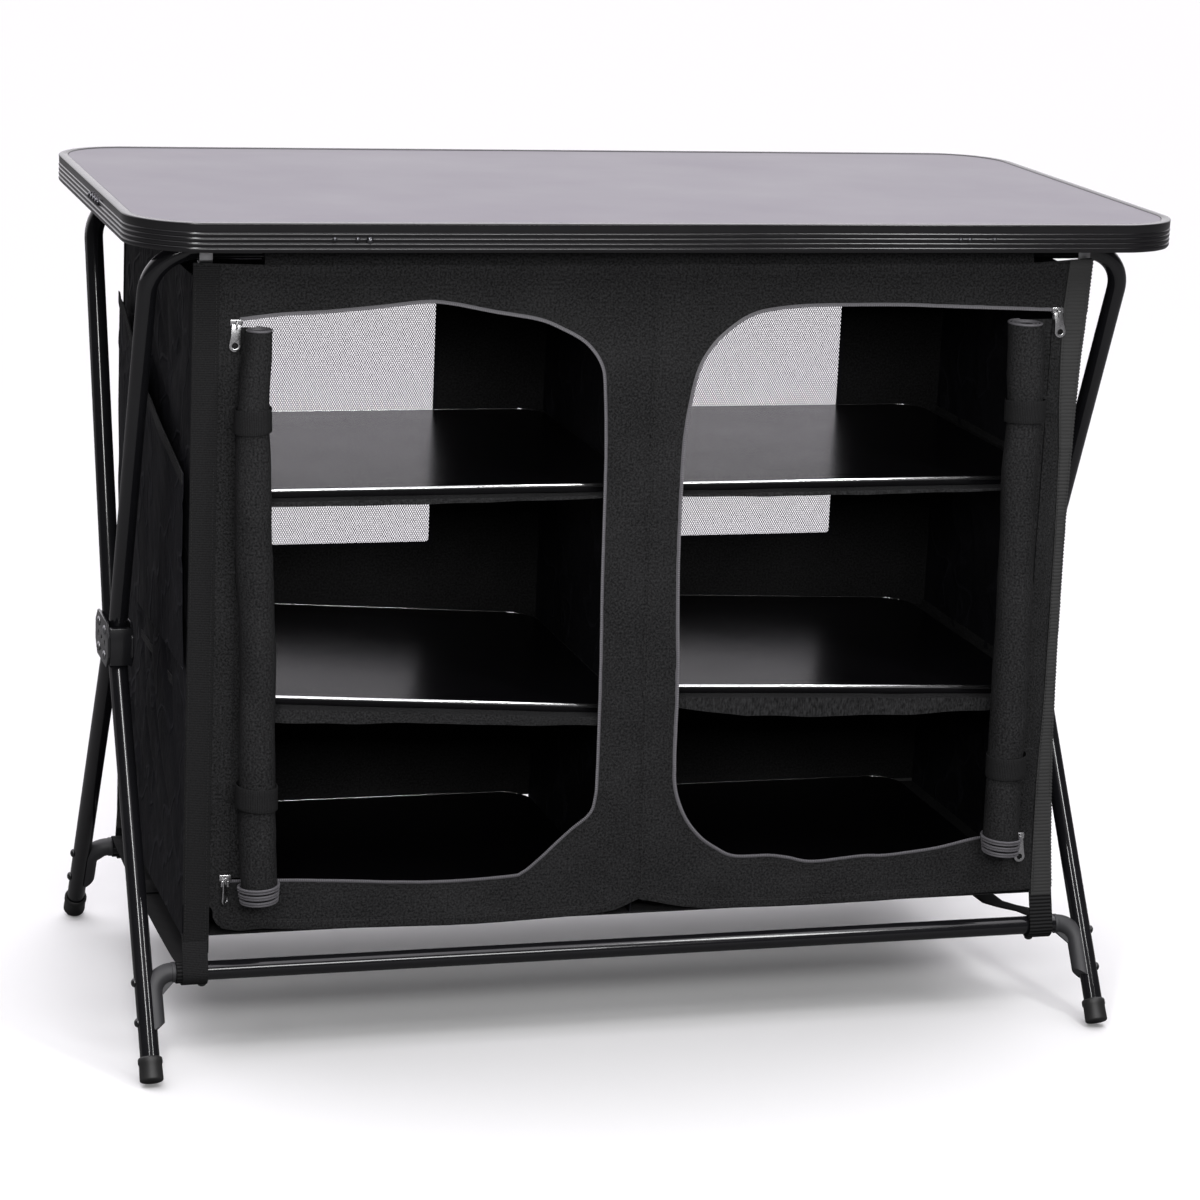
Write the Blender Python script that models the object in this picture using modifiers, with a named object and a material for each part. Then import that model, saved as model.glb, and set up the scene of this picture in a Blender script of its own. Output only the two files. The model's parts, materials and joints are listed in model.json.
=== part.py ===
"""Camping cupboard: a rigid worktop on a folding tube frame, with a fabric cupboard hung inside.

All lengths are in metres. X runs along the worktop, -Y is the front, +Z is up, and the origin
is on the floor under the middle of the worktop.
"""
import math

import bmesh
import bpy
from mathutils import Matrix, Vector

# Worktop
TABLE_WIDTH = 1.000
TABLE_DEPTH = 0.520
TABLE_HEIGHT = 0.800
TABLE_CORNER = 0.070
TRIM_HEIGHT = 0.026
TRIM_WALL = 0.0016
TRIM_LIP = 0.0012
TRIM_LIP_REACH = 0.006
FIELD_DROP = 0.0005
TRIM_RIBS = 4
TRIM_RIB_DEPTH = 0.0012
RIB_LAND = 0.70
RIB_SLOPE = 0.15
SCREW_RADIUS = 0.0022
SCREW_HEIGHT = 0.0012
SCREW_SEAT = 0.001
FRONT_SCREWS = (-0.3225, -0.302, -0.291, 0.265, 0.274, 0.2985)
SIDE_SCREWS = (-0.056, -0.042, -0.028, -0.014)

# Frame tube
TUBE_RADIUS = 0.009
TUBE_WALL = 0.0012
TUBE_BEVEL_STEPS = 3
TUBE_INSET = 0.0295
TUBE_END = 0.008
RAIL_BEND = 0.045
RAIL_INSET = 0.0855
FOOT_INSET = 0.0093
CROSSBAR_HEIGHT = 0.090

# Folding hub
HUB_HEIGHT = 0.3625
PIVOT_HALF_Y = 0.0175
PIVOT_HALF_Z = 0.0125
HUB_PLATE_WALL = 0.0025
HUB_PLATE_GAP = 0.001
HUB_HALF_LENGTH = 0.039
HUB_HALF_HEIGHT = 0.0215
HUB_CHAMFER = 0.012
HUB_HOLE_RADIUS = 0.0032
HUB_HOLE_PITCH = 0.020
HUB_BLOCK_DEPTH = 0.0085
HUB_BLOCK_HALF_HEIGHT = 0.019
HUB_SPACER_RADIUS = 0.005
RIVET_RADIUS = 0.003
RIVET_HEAD_RADIUS = 0.005
RIVET_HEAD_HEIGHT = 0.0016
DOME_SHOULDER = 0.70
DOME_RISE = 0.75

# Elbows, rivets and feet
SHOE_INSET = 0.0075
ELBOW_BEND = 0.019
MOUTH_INSET = 0.0295
ELBOW_SHOE = 0.036
SPIGOT_LENGTH = 0.040
SPIGOT_ROOT = 0.001
SHOE_LIP = 0.0025
GUSSET_LENGTH = 0.019
GUSSET_DEPTH = 0.013
GUSSET_CENTRE = 0.0104
GUSSET_WALL = 0.0025
LEG_RIVET_RADIUS = 0.002
LEG_RIVET_HEAD = 0.0042
LEG_RIVET_DOME = 0.0024
LEG_RIVET_DROPS = (0.008, 0.046)
BAR_RIVET_OFFSET = 0.008
CAP_WALL = 0.0017
CAP_LENGTH = 0.024
CAP_BASE = 0.004
CAP_FLAT = 0.002
FLOOR_DEPTH = 0.100

# Rail clips under the worktop
CLIP_INSET = 0.048
CLIP_WIDTH = 0.012
CLIP_REACH = 0.020
CLIP_WALL = 0.0015
CLIP_LIP_GAP = 0.0012

# Fabric cupboard
FABRIC = 0.0012
BAG_SIDE_GAP = 0.0355
BAG_OVERHANG = 0.016
BAG_HANG = 0.0119
BAG_RISE = 0.0335
SIDE_DROP = 0.0105
WINDOW_SIDE = 0.115
WINDOW_WIDTH = 0.203
WINDOW_DROP = 0.0745
WINDOW_HEIGHT = 0.274
NET_GAPS_X = 6
NET_GAPS_Z = 8
NET_STRAND = 0.0016
DECK_FRONT_GAP = 0.0043
DECK_HEM = 0.014
DECK_SIDE_GAP = 0.0013
POCKET_DEPTH_DROP = 0.3715
POCKET_REAR_DROP = 0.0855
POCKET_FRONT_DROP = 0.1895
POCKET_REAR_GAP = 0.0105
POCKET_BULGE = 2.8
FLAP_INSET = 0.1005
FLAP_DROP = 0.0294
FLAP_WRAP = (170, -130)

# Doors, zips and ties
DOOR_INNER = 0.039
DOOR_SIDE = 0.043
DOOR_RISE = 0.0415
DOOR_DROP = 0.0405
DOOR_CORNER = 0.080
ZIP_WIDTH = 0.008
ZIP_WALL = 0.0012
ZIP_TAIL = 0.010
ROLL_OFFSET = 0.0205
ROLL_RADIUS = 0.018
ROLL_CORE = 0.006
ROLL_TURNS = 3
ROLL_CLOTH = 0.0024
ROLL_RISES = {"left": 0.0355, "right": 0.0475}
ROLL_DROP = 0.0525
LOWER_TIE_RISE = 0.140
UPPER_TIE_DROP = 0.1375
TIE_WIDTH = 0.022
TIE_SEAM = 0.012
TIE_TUCK = 0.003
SEAM_DEPTH = 0.0003
SLIDER_OFFSET = 0.0038
SLIDER_SIZE = (0.010, 0.004, 0.012)
UPPER_SLIDER_DROPS = {"left": 0.054, "right": 0.0465}
LOWER_SLIDER_RISES = {"left": 0.0545, "right": 0.0585}
PULL_LENGTH = 0.024
PULL_WIDTH = 0.0104
PULL_WALL = 0.0014
PULL_HOLE = 0.0032

# Webbing straps
STRAP_INSET = 0.0115
STRAP_WIDTH = 0.024
STRAP_WALL = 0.0015
LOWER_STRAP_WRAP = (170, 300)
LEFT_TIE_STRAP_INSET = 0.0055
RIGHT_TIE_STRAP_INSET = 0.037
TIE_STRAP_WIDTH = 0.022
TIE_STRAP_WRAP = (90, 310)
TIE_STRAP_LEAN = 50

# Shelf boards
MIDDLE_BOARD_RISE = 0.2160
UPPER_BOARD_DROP = 0.2088
LEFT_MIDDLE_TILT = 3.6
RIGHT_MIDDLE_TILT = 2.1
BOARD_INNER_GAP = 0.0054
BOARD_OUTER_GAP = 0.0258
BOARD_FRONT_GAP = 0.0173
BOARD_REAR_GAP = 0.0053
BOARD_CORNER = 0.030
BOARD_THICKNESS = 0.008

# Clearances and mesh tolerances
GAP = 0.0003
WELD = 0.00002
SMOOTH_ANGLE = 35

SIDES = {"left": -1, "right": 1}
ENDS = {"front": -1, "rear": 1}

TUBE_PLANE = TABLE_WIDTH / 2 - TUBE_INSET
RAIL_SPREAD = TABLE_DEPTH / 2 - RAIL_INSET
FOOT_SPREAD = TABLE_DEPTH / 2 - FOOT_INSET
PANEL_BOTTOM = TABLE_HEIGHT - TRIM_HEIGHT + TRIM_LIP + GAP
LEDGE_TOP = TABLE_HEIGHT - TRIM_LIP - GAP
RAIL_HEIGHT = PANEL_BOTTOM - 2 * GAP - CLIP_WALL - TUBE_RADIUS
UPPER_PIVOT = HUB_HEIGHT + PIVOT_HALF_Z
LOWER_PIVOT = HUB_HEIGHT - PIVOT_HALF_Z
UPPER_SPLAY = math.atan2(RAIL_SPREAD - PIVOT_HALF_Y, RAIL_HEIGHT - UPPER_PIVOT)
LOWER_SPLAY = math.atan2(FOOT_SPREAD - PIVOT_HALF_Y, LOWER_PIVOT)
CROSSBAR_SPREAD = PIVOT_HALF_Y + (LOWER_PIVOT - CROSSBAR_HEIGHT) * math.tan(LOWER_SPLAY)
SHOE_PLANE = TUBE_PLANE - SHOE_INSET
ELBOW_MOUTH = TUBE_PLANE - MOUTH_INSET
HUB_INNER_FACE = TUBE_PLANE - TUBE_RADIUS - HUB_PLATE_GAP
HUB_OUTER_FACE = TUBE_PLANE + TUBE_RADIUS + HUB_PLATE_GAP
TUBE_SIDES = 2 * (TUBE_BEVEL_STEPS + 2)
TUBE_INSIDE = TUBE_RADIUS * math.cos(math.pi / TUBE_SIDES) - TUBE_WALL

BAG_HALF_WIDTH = TUBE_PLANE - BAG_SIDE_GAP
BAG_HALF_DEPTH = RAIL_SPREAD + BAG_OVERHANG
BAG_TOP = RAIL_HEIGHT - BAG_HANG
BAG_BOTTOM = CROSSBAR_HEIGHT + BAG_RISE
WALL_INSIDE = BAG_HALF_WIDTH - FABRIC
DEPTH_INSIDE = BAG_HALF_DEPTH - FABRIC
FRONT_FACE = -BAG_HALF_DEPTH
FLAP_BOTTOM = RAIL_HEIGHT - FLAP_DROP
STRAP_X = BAG_HALF_WIDTH - STRAP_INSET
DOOR_OUTER = BAG_HALF_WIDTH - DOOR_SIDE
DOOR_BOTTOM = BAG_BOTTOM + DOOR_RISE
DOOR_TOP = BAG_TOP - DOOR_DROP
SLIDER_X = DOOR_OUTER + SLIDER_OFFSET
ROLL_X = DOOR_OUTER - ROLL_OFFSET
ROLL_TOP = BAG_TOP - ROLL_DROP
ROLL_Y = FRONT_FACE - ZIP_WALL - 2 * GAP - ROLL_RADIUS
TIE_LOOP = TUBE_RADIUS + GAP + STRAP_WALL / 2
CORNER_LOOP = TIE_LOOP + STRAP_WALL + GAP
BOARD_TOPS = {
    "lower": BAG_BOTTOM + FABRIC + 2 * GAP + BOARD_THICKNESS,
    "middle": BAG_BOTTOM + MIDDLE_BOARD_RISE,
    "upper": BAG_TOP - UPPER_BOARD_DROP,
}
BOARD_TILTS = {("middle", -1): LEFT_MIDDLE_TILT, ("middle", 1): RIGHT_MIDDLE_TILT}
BOARD_INNER = FABRIC / 2 + BOARD_INNER_GAP
BOARD_OUTER = WALL_INSIDE - BOARD_OUTER_GAP
BOARD_FRONT = BOARD_FRONT_GAP - DEPTH_INSIDE
BOARD_REAR = DEPTH_INSIDE - BOARD_REAR_GAP
BOARD_X = (BOARD_INNER + BOARD_OUTER) / 2
BOARD_Y = (BOARD_FRONT + BOARD_REAR) / 2

# Turns a flat outline drawn in XY so that it stands in the YZ plane or in the XZ plane
STAND_YZ = Matrix(((0, 0, 1), (1, 0, 0), (0, 1, 0))).to_4x4()
STAND_XZ = Matrix(((1, 0, 0), (0, 0, -1), (0, 1, 0))).to_4x4()

MATERIALS = {
    "black_tube": ((0.010, 0.010, 0.011), 0.22, 0.6),
    "black_hub": ((0.012, 0.012, 0.013), 0.35, 0.3),
    "rivet_steel": ((0.30, 0.30, 0.31), 0.35, 1.0),
    "matte_black": ((0.020, 0.020, 0.021), 0.62, 0.0),
    "rubber": ((0.018, 0.018, 0.018), 0.55, 0.0),
    "worktop": ((0.100, 0.098, 0.104), 0.38, 0.0),
    "black_trim": ((0.014, 0.014, 0.015), 0.28, 0.7),
    "bare_metal": ((0.55, 0.55, 0.56), 0.35, 1.0),
    "cloth": ((0.018, 0.018, 0.019), 0.9, 0.0),
    "nylon": ((0.014, 0.014, 0.017), 0.7, 0.0),
    "webbing": ((0.020, 0.020, 0.020), 0.85, 0.0),
    "zip_tape": ((0.16, 0.16, 0.165), 0.8, 0.0),
    "board": ((0.012, 0.012, 0.013), 0.25, 0.0),
    "aluminium": ((0.70, 0.70, 0.71), 0.30, 1.0),
}


def clear_scene():
    for item in list(bpy.data.objects):
        bpy.data.objects.remove(item, do_unlink=True)


def make_collection(name):
    group = bpy.data.collections.new(name)
    bpy.context.scene.collection.children.link(group)
    return group


def make_material(name):
    colour, roughness, metallic = MATERIALS[name]
    material = bpy.data.materials.get(name) or bpy.data.materials.new(name)
    material.use_nodes = True
    shader = material.node_tree.nodes["Principled BSDF"]
    shader.inputs["Base Color"].default_value = (*colour, 1.0)
    shader.inputs["Roughness"].default_value = roughness
    shader.inputs["Metallic"].default_value = metallic
    return material


def place(data, name, material, matrix=Matrix.Identity(4), smooth=True):
    """Links a new object that shows data, with its material and its place."""
    item = bpy.data.objects.new(name, data)
    item.matrix_world = matrix
    PARTS.objects.link(item)
    data.materials.clear()
    data.materials.append(make_material(material))
    if smooth and item.type == "MESH":
        data.shade_smooth()
        data.set_sharp_from_angle(angle=math.radians(SMOOTH_ANGLE))
    return item


def make_cutter(build, name):
    """A hidden body for Boolean cuts, filled by build(bm)."""
    mesh = bpy.data.meshes.new(name)
    bm = bmesh.new()
    build(bm)
    bm.to_mesh(mesh)
    bm.free()
    item = bpy.data.objects.new(name, mesh)
    CUTTERS.objects.link(item)
    item.hide_render = True
    item.display_type = "WIRE"
    return item


def cut(item, cutter, operation="DIFFERENCE"):
    modifier = item.modifiers.new(operation.lower(), "BOOLEAN")
    modifier.operation = operation
    modifier.solver = "EXACT"
    modifier.object = cutter
    return item


def curve_data(name, splines, cyclic, flat):
    data = bpy.data.curves.new(name, "CURVE")
    data.dimensions = "2D" if flat else "3D"
    for points in splines:
        spline = data.splines.new("POLY")
        spline.points.add(len(points) - 1)
        for slot, point in zip(spline.points, points):
            slot.co = (*point, 0.0, 1.0) if len(point) == 2 else (*point, 1.0)
        spline.use_cyclic_u = cyclic
    return data


def meshed(data, matrix=Matrix.Identity(4)):
    """A curve's evaluated mesh, with its loose caps welded, moved by matrix."""
    helper = bpy.data.objects.new("helper", data)
    PARTS.objects.link(helper)
    bpy.context.view_layer.update()
    graph = bpy.context.evaluated_depsgraph_get()
    mesh = bpy.data.meshes.new_from_object(helper.evaluated_get(graph))
    bpy.data.objects.remove(helper, do_unlink=True)
    bm = bmesh.new()
    bm.from_mesh(mesh)
    bmesh.ops.remove_doubles(bm, verts=bm.verts, dist=WELD)
    bm.to_mesh(mesh)
    bm.free()
    mesh.transform(matrix)
    return mesh


def as_cutter(item):
    """Sets a finished piece aside, hidden, so that it only shapes another one."""
    PARTS.objects.unlink(item)
    CUTTERS.objects.link(item)
    item.hide_render = True
    item.display_type = "WIRE"
    return item


def plate(name, outlines, wall, material, matrix):
    """A flat plate from closed outlines, the first outer and the others holes."""
    data = curve_data(name, outlines, cyclic=True, flat=True)
    data.fill_mode = "BOTH"
    data.extrude = wall / 2
    return place(meshed(data), name, material, matrix, smooth=False)


def ribbon(name, path, width, wall, material, matrix):
    """A strip of webbing or sheet metal whose side view is path and whose width is across it."""
    data = curve_data(name, [path], cyclic=False, flat=True)
    data.extrude = width / 2
    item = place(meshed(data), name, material, matrix)
    thick = item.modifiers.new("thickness", "SOLIDIFY")
    thick.thickness = wall
    thick.offset = 0.0
    thick.use_even_offset = True
    return item


def tube(name, path, material, radius=TUBE_RADIUS, wall=TUBE_WALL):
    """A hollow round tube along path, open at both ends."""
    data = curve_data(name, [path], cyclic=False, flat=False)
    data.bevel_depth = radius
    data.bevel_resolution = TUBE_BEVEL_STEPS
    item = place(meshed(data), name, material)
    thick = item.modifiers.new("wall", "SOLIDIFY")
    thick.thickness = wall
    thick.offset = -1.0
    thick.use_even_offset = True
    return item


def turned(name, profile, material, matrix, steps=12):
    """A body of revolution; profile runs down the outer side as (radius, height)."""
    mesh = bpy.data.meshes.new(name)
    bm = bmesh.new()
    verts = [bm.verts.new((radius, 0.0, height)) for radius, height in profile]
    for a, b in zip(verts, verts[1:]):
        bm.edges.new((a, b))
    bm.to_mesh(mesh)
    bm.free()
    item = place(mesh, name, material, matrix)
    screw = item.modifiers.new("turn", "SCREW")
    screw.angle = math.tau
    screw.steps = steps
    screw.render_steps = steps
    screw.use_merge_vertices = True
    screw.merge_threshold = WELD
    return item


def add_box(bm, size, centre, turn=Matrix.Identity(4)):
    matrix = Matrix.Translation(centre) @ turn @ Matrix.Diagonal((*size, 1.0))
    bmesh.ops.create_cube(bm, size=1.0, matrix=matrix)


def add_rod(bm, radius, start, end, segments=12, end_radius=None):
    start, end = Vector(start), Vector(end)
    turn = (end - start).to_track_quat("Z", "Y").to_matrix().to_4x4()
    matrix = Matrix.Translation((start + end) / 2) @ turn
    bmesh.ops.create_cone(
        bm, cap_ends=True, segments=segments, radius1=radius, radius2=end_radius or radius,
        depth=(end - start).length, matrix=matrix,
    )


def box(name, size, centre, material):
    mesh = bpy.data.meshes.new(name)
    bm = bmesh.new()
    add_box(bm, size, centre)
    bm.to_mesh(mesh)
    bm.free()
    return place(mesh, name, material, smooth=False)


def rounded_path(corners, radius, steps):
    """An open path whose inner corners are replaced by arcs."""
    corners = [Vector(corner) for corner in corners]
    path = [corners[0]]
    for before, corner, after in zip(corners, corners[1:], corners[2:]):
        come, go = (before - corner).normalized(), (after - corner).normalized()
        half = come.angle(go) / 2
        reach = radius / math.tan(half)
        centre = corner + (come + go).normalized() * radius / math.sin(half)
        first, last = corner + come * reach - centre, corner + go * reach - centre
        sweep = first.angle(last)
        for step in range(steps + 1):
            turn = sweep * step / steps
            path.append(centre + (first * math.sin(sweep - turn) + last * math.sin(turn)) / math.sin(sweep))
    path.append(corners[-1])
    return [tuple(point) for point in path]


def rounded_rectangle(width, depth, radius, steps=7):
    """A closed outline with four arcs, centred on the origin."""
    points = []
    for quarter in range(4):
        sign_x = 1 if quarter in (0, 3) else -1
        sign_y = 1 if quarter in (0, 1) else -1
        centre_x = sign_x * (width / 2 - radius)
        centre_y = sign_y * (depth / 2 - radius)
        for step in range(steps + 1):
            angle = math.pi / 2 * (quarter + step / steps)
            points.append((centre_x + radius * math.cos(angle), centre_y + radius * math.sin(angle)))
    return points


def circle(radius, centre=(0.0, 0.0), segments=12):
    turns = [math.tau * step / segments for step in range(segments)]
    return [(centre[0] + radius * math.cos(a), centre[1] + radius * math.sin(a)) for a in turns]


def arc(centre, radius, start, end, steps):
    """Points on a circle from one angle to another, in degrees."""
    angles = [math.radians(start + (end - start) * step / steps) for step in range(steps + 1)]
    return [(centre[0] + radius * math.cos(a), centre[1] + radius * math.sin(a)) for a in angles]


def mirrored(path, sign):
    """The path as drawn for the front or left, or its mirror image for the other side."""
    return [(-sign * first, second) for first, second in path]


def swept_ring(name, outline, profile, height, material):
    """A closed profile swept round a closed outline that lies level at height."""
    section = curve_data(name + "_profile", [profile], cyclic=True, flat=True)
    section_item = bpy.data.objects.new(name + "_profile", section)
    CUTTERS.objects.link(section_item)
    section_item.hide_render = True
    data = curve_data(name, [outline], cyclic=True, flat=True)
    data.bevel_mode = "OBJECT"
    data.bevel_object = section_item
    mesh = meshed(data)
    bm = bmesh.new()
    bm.from_mesh(mesh)
    bmesh.ops.recalc_face_normals(bm, faces=bm.faces)
    bm.to_mesh(mesh)
    bm.free()
    return place(mesh, name, material, Matrix.Translation((0, 0, height)))


def leg_point(end, side, drop):
    """A point on a lower leg's axis, drop metres down the leg from the crossbar's height."""
    slope = math.tan(LOWER_SPLAY)
    fall = drop * math.cos(LOWER_SPLAY)
    return Vector((side * TUBE_PLANE, end * (CROSSBAR_SPREAD + fall * slope), CROSSBAR_HEIGHT - fall))


def worktop_slab(name, inset, low, high):
    """A level slab whose edge lies inset metres inside the trim's outer face."""
    outline = rounded_rectangle(TABLE_WIDTH - 2 * inset, TABLE_DEPTH - 2 * inset, TABLE_CORNER - inset)
    return plate(name, [outline], high - low, "worktop", Matrix.Translation((0, 0, (high + low) / 2)))


def build_worktop():
    """The panel, whose edge is rebated under the trim's lip, the trim with its screws, and the clips."""
    back = TRIM_RIB_DEPTH + TRIM_WALL
    panel = worktop_slab("table_panel", back + GAP, PANEL_BOTTOM, LEDGE_TOP)
    middle = (PANEL_BOTTOM + LEDGE_TOP) / 2
    field = worktop_slab("panel_field", back + TRIM_LIP_REACH + GAP, middle, TABLE_HEIGHT - FIELD_DROP)
    cut(panel, as_cutter(field), "UNION")

    half = TRIM_HEIGHT / 2
    profile = [(back + TRIM_LIP_REACH, half), (back + TRIM_LIP_REACH, half - TRIM_LIP),
               (back, half - TRIM_LIP), (back, TRIM_LIP - half),
               (back + TRIM_LIP_REACH, TRIM_LIP - half), (back + TRIM_LIP_REACH, -half)]
    pitch = TRIM_HEIGHT / TRIM_RIBS
    for number in range(TRIM_RIBS):
        base = -half + number * pitch
        land = base + RIB_LAND * pitch
        profile += [(0.0, base), (0.0, land), (TRIM_RIB_DEPTH, land + RIB_SLOPE * pitch)]
    profile[-1] = (0.0, half)
    outline = rounded_rectangle(TABLE_WIDTH, TABLE_DEPTH, TABLE_CORNER)
    trim = swept_ring("table_trim", outline, profile, TABLE_HEIGHT - half, "black_trim")

    def screws(bm):
        height = TABLE_HEIGHT - TRIM_HEIGHT / 2
        for x in FRONT_SCREWS:
            face = -TABLE_DEPTH / 2
            add_rod(bm, SCREW_RADIUS, (x, face + SCREW_SEAT, height), (x, face - SCREW_HEIGHT, height), 8,
                    SCREW_RADIUS / 2)
        for y in SIDE_SCREWS:
            face = -TABLE_WIDTH / 2
            add_rod(bm, SCREW_RADIUS, (face + SCREW_SEAT, y, height), (face - SCREW_HEIGHT, y, height), 8,
                    SCREW_RADIUS / 2)

    cut(trim, make_cutter(screws, "trim_screws"), "UNION")

    under = PANEL_BOTTOM - GAP - CLIP_WALL / 2
    outer = RAIL_SPREAD + TUBE_RADIUS + CLIP_LIP_GAP + CLIP_WALL / 2
    lip = RAIL_HEIGHT - TUBE_RADIUS - CLIP_LIP_GAP - CLIP_WALL / 2
    path = [(CLIP_REACH - RAIL_SPREAD, under), (-outer, under), (-outer, lip), (-RAIL_SPREAD, lip)]
    for end_name, end in ENDS.items():
        for side_name, side in SIDES.items():
            spot = Matrix.Translation((side * (TUBE_PLANE - CLIP_INSET), 0, 0)) @ STAND_YZ
            ribbon(f"{end_name}_{side_name}_clip", mirrored(path, end), CLIP_WIDTH, CLIP_WALL,
                   "bare_metal", spot)


def pivot_holes(bm):
    """Rods that bore the tubes and the hubs' outer plates for the pivot rivets."""
    inside = HUB_INNER_FACE - 2 * HUB_PLATE_WALL
    outside = HUB_OUTER_FACE + 2 * HUB_PLATE_WALL
    for side in SIDES.values():
        for end in ENDS.values():
            for height in (UPPER_PIVOT, LOWER_PIVOT):
                y = end * PIVOT_HALF_Y
                add_rod(bm, RIVET_RADIUS + GAP, (side * inside, y, height), (side * outside, y, height))


def rivet_holes(bm):
    """Rods that bore the legs, the crossbars and the straps for the elbows' rivets."""
    reach = LEG_RIVET_RADIUS + GAP
    for side in SIDES.values():
        for end in ENDS.values():
            for drop in LEG_RIVET_DROPS:
                spot = leg_point(end, side, drop)
                inside = Vector((side * (SHOE_PLANE - TUBE_RADIUS), spot.y, spot.z))
                outside = Vector((side * (TUBE_PLANE + 2 * TUBE_RADIUS), spot.y, spot.z))
                add_rod(bm, reach, inside, outside)
            bar = Vector((side * (STRAP_X - BAR_RIVET_OFFSET), end * CROSSBAR_SPREAD, CROSSBAR_HEIGHT))
            add_rod(bm, reach, bar + Vector((0, 0, -2 * TUBE_RADIUS)), bar)


def pin(name, radius, head, dome, start, head_at, both_ends=False, steps=12):
    """A round pin from start to head_at, with a domed head there, or one at each end."""
    start, head_at = Vector(start), Vector(head_at)
    length = (head_at - start).length
    shoulder, rise = head * DOME_SHOULDER, dome * DOME_RISE
    profile = [(0.0, length + dome), (shoulder, length + rise), (head, length), (radius, length)]
    if both_ends:
        profile += [(radius, 0.0), (head, 0.0), (shoulder, -rise), (0.0, -dome)]
    else:
        profile += [(radius, 0.0), (0.0, 0.0)]
    turn = (head_at - start).to_track_quat("Z", "Y").to_matrix().to_4x4()
    return as_cutter(turned(name, profile, "rivet_steel", Matrix.Translation(start) @ turn, steps))


def build_hubs(pivot_cutter):
    length, height, chamfer = HUB_HALF_LENGTH, HUB_HALF_HEIGHT, HUB_CHAMFER
    outline = [(length, -height + chamfer), (length, height - chamfer), (length - chamfer, height),
               (chamfer - length, height), (-length, height - chamfer), (-length, chamfer - height),
               (chamfer - length, -height), (length - chamfer, -height)]
    holes = [circle(HUB_HOLE_RADIUS, (spot * HUB_HOLE_PITCH, 0.0)) for spot in (-1, 0, 1)]
    half = HUB_PLATE_WALL / 2
    gap = HUB_OUTER_FACE - HUB_INNER_FACE
    width = gap - GAP + half
    near = PIVOT_HALF_Y + math.hypot(TUBE_RADIUS, TUBE_END) + 2 * GAP
    reach = 2 * HUB_HALF_LENGTH

    def spaces(bm):
        for side in SIDES.values():
            for end in ENDS.values():
                for up in (1, -1):
                    add_rod(bm, TUBE_RADIUS + GAP, pivot_spot(end, side, up, 0.0),
                            pivot_spot(end, side, up, reach), 16)

    tube_spaces = make_cutter(spaces, "tube_spaces")
    for name, side in SIDES.items():
        spot = Matrix.Translation((side * (HUB_OUTER_FACE + half), 0, HUB_HEIGHT)) @ STAND_YZ
        outer = plate(name + "_hub_outer_plate", [outline, *holes], HUB_PLATE_WALL, "black_hub", spot)
        cut(outer, pivot_cutter)

        spot = Matrix.Translation((side * (HUB_INNER_FACE - half), 0, HUB_HEIGHT)) @ STAND_YZ
        inner = plate(name + "_hub_inner_plate", [outline], HUB_PLATE_WALL, "black_hub", spot)
        middle = side * (HUB_INNER_FACE - half + width / 2)

        def blocks(bm):
            for end in ENDS.values():
                centre = (middle, end * (near + HUB_BLOCK_DEPTH / 2), HUB_HEIGHT)
                add_box(bm, (width, HUB_BLOCK_DEPTH, 2 * HUB_BLOCK_HALF_HEIGHT), centre)
            root = middle - side * width / 2
            add_rod(bm, HUB_SPACER_RADIUS, (root, 0, HUB_HEIGHT), (root + side * width, 0, HUB_HEIGHT))

        cut(inner, make_cutter(blocks, name + "_hub_spacers"), "UNION")
        cut(inner, tube_spaces)
        back = side * (HUB_INNER_FACE - HUB_PLATE_WALL)
        front = side * (HUB_OUTER_FACE + HUB_PLATE_WALL + GAP)
        for end in ENDS.values():
            for pivot in (UPPER_PIVOT, LOWER_PIVOT):
                y = end * PIVOT_HALF_Y
                rivet = pin("pivot_rivet", RIVET_RADIUS, RIVET_HEAD_RADIUS, RIVET_HEAD_HEIGHT,
                            (back, y, pivot), (front, y, pivot), both_ends=True)
                cut(inner, rivet, "UNION")


def pivot_spot(end, side, up, along):
    """A point on a tube's axis, along metres away from its pivot, above it or below it."""
    splay = UPPER_SPLAY if up > 0 else LOWER_SPLAY
    height = UPPER_PIVOT if up > 0 else LOWER_PIVOT
    return Vector((side * TUBE_PLANE, end * (PIVOT_HALF_Y + along * math.sin(splay)),
                   height + up * along * math.cos(splay)))


def build_upper_frames(pivot_cutter):
    reach = (RAIL_HEIGHT - UPPER_PIVOT) / math.cos(UPPER_SPLAY)
    ring = TUBE_RADIUS + GAP + FABRIC / 2
    behind = DEPTH_INSIDE - GAP - FABRIC / 2
    width = 2 * (TUBE_PLANE - FLAP_INSET)
    flap = [(-behind, FLAP_BOTTOM), (-behind, RAIL_HEIGHT - TUBE_RADIUS)]
    flap += arc((-RAIL_SPREAD, RAIL_HEIGHT), ring, *FLAP_WRAP, 12)
    for name, end in ENDS.items():
        corners = [pivot_spot(end, -1, 1, -TUBE_END), pivot_spot(end, -1, 1, reach),
                   pivot_spot(end, 1, 1, reach), pivot_spot(end, 1, 1, -TUBE_END)]
        frame = tube(name + "_upper_tube", rounded_path(corners, RAIL_BEND, 6), "black_tube")
        cut(frame, pivot_cutter)
        ribbon(name + "_hanging_flap", mirrored(flap, end), width, FABRIC, "cloth", STAND_YZ)


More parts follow.
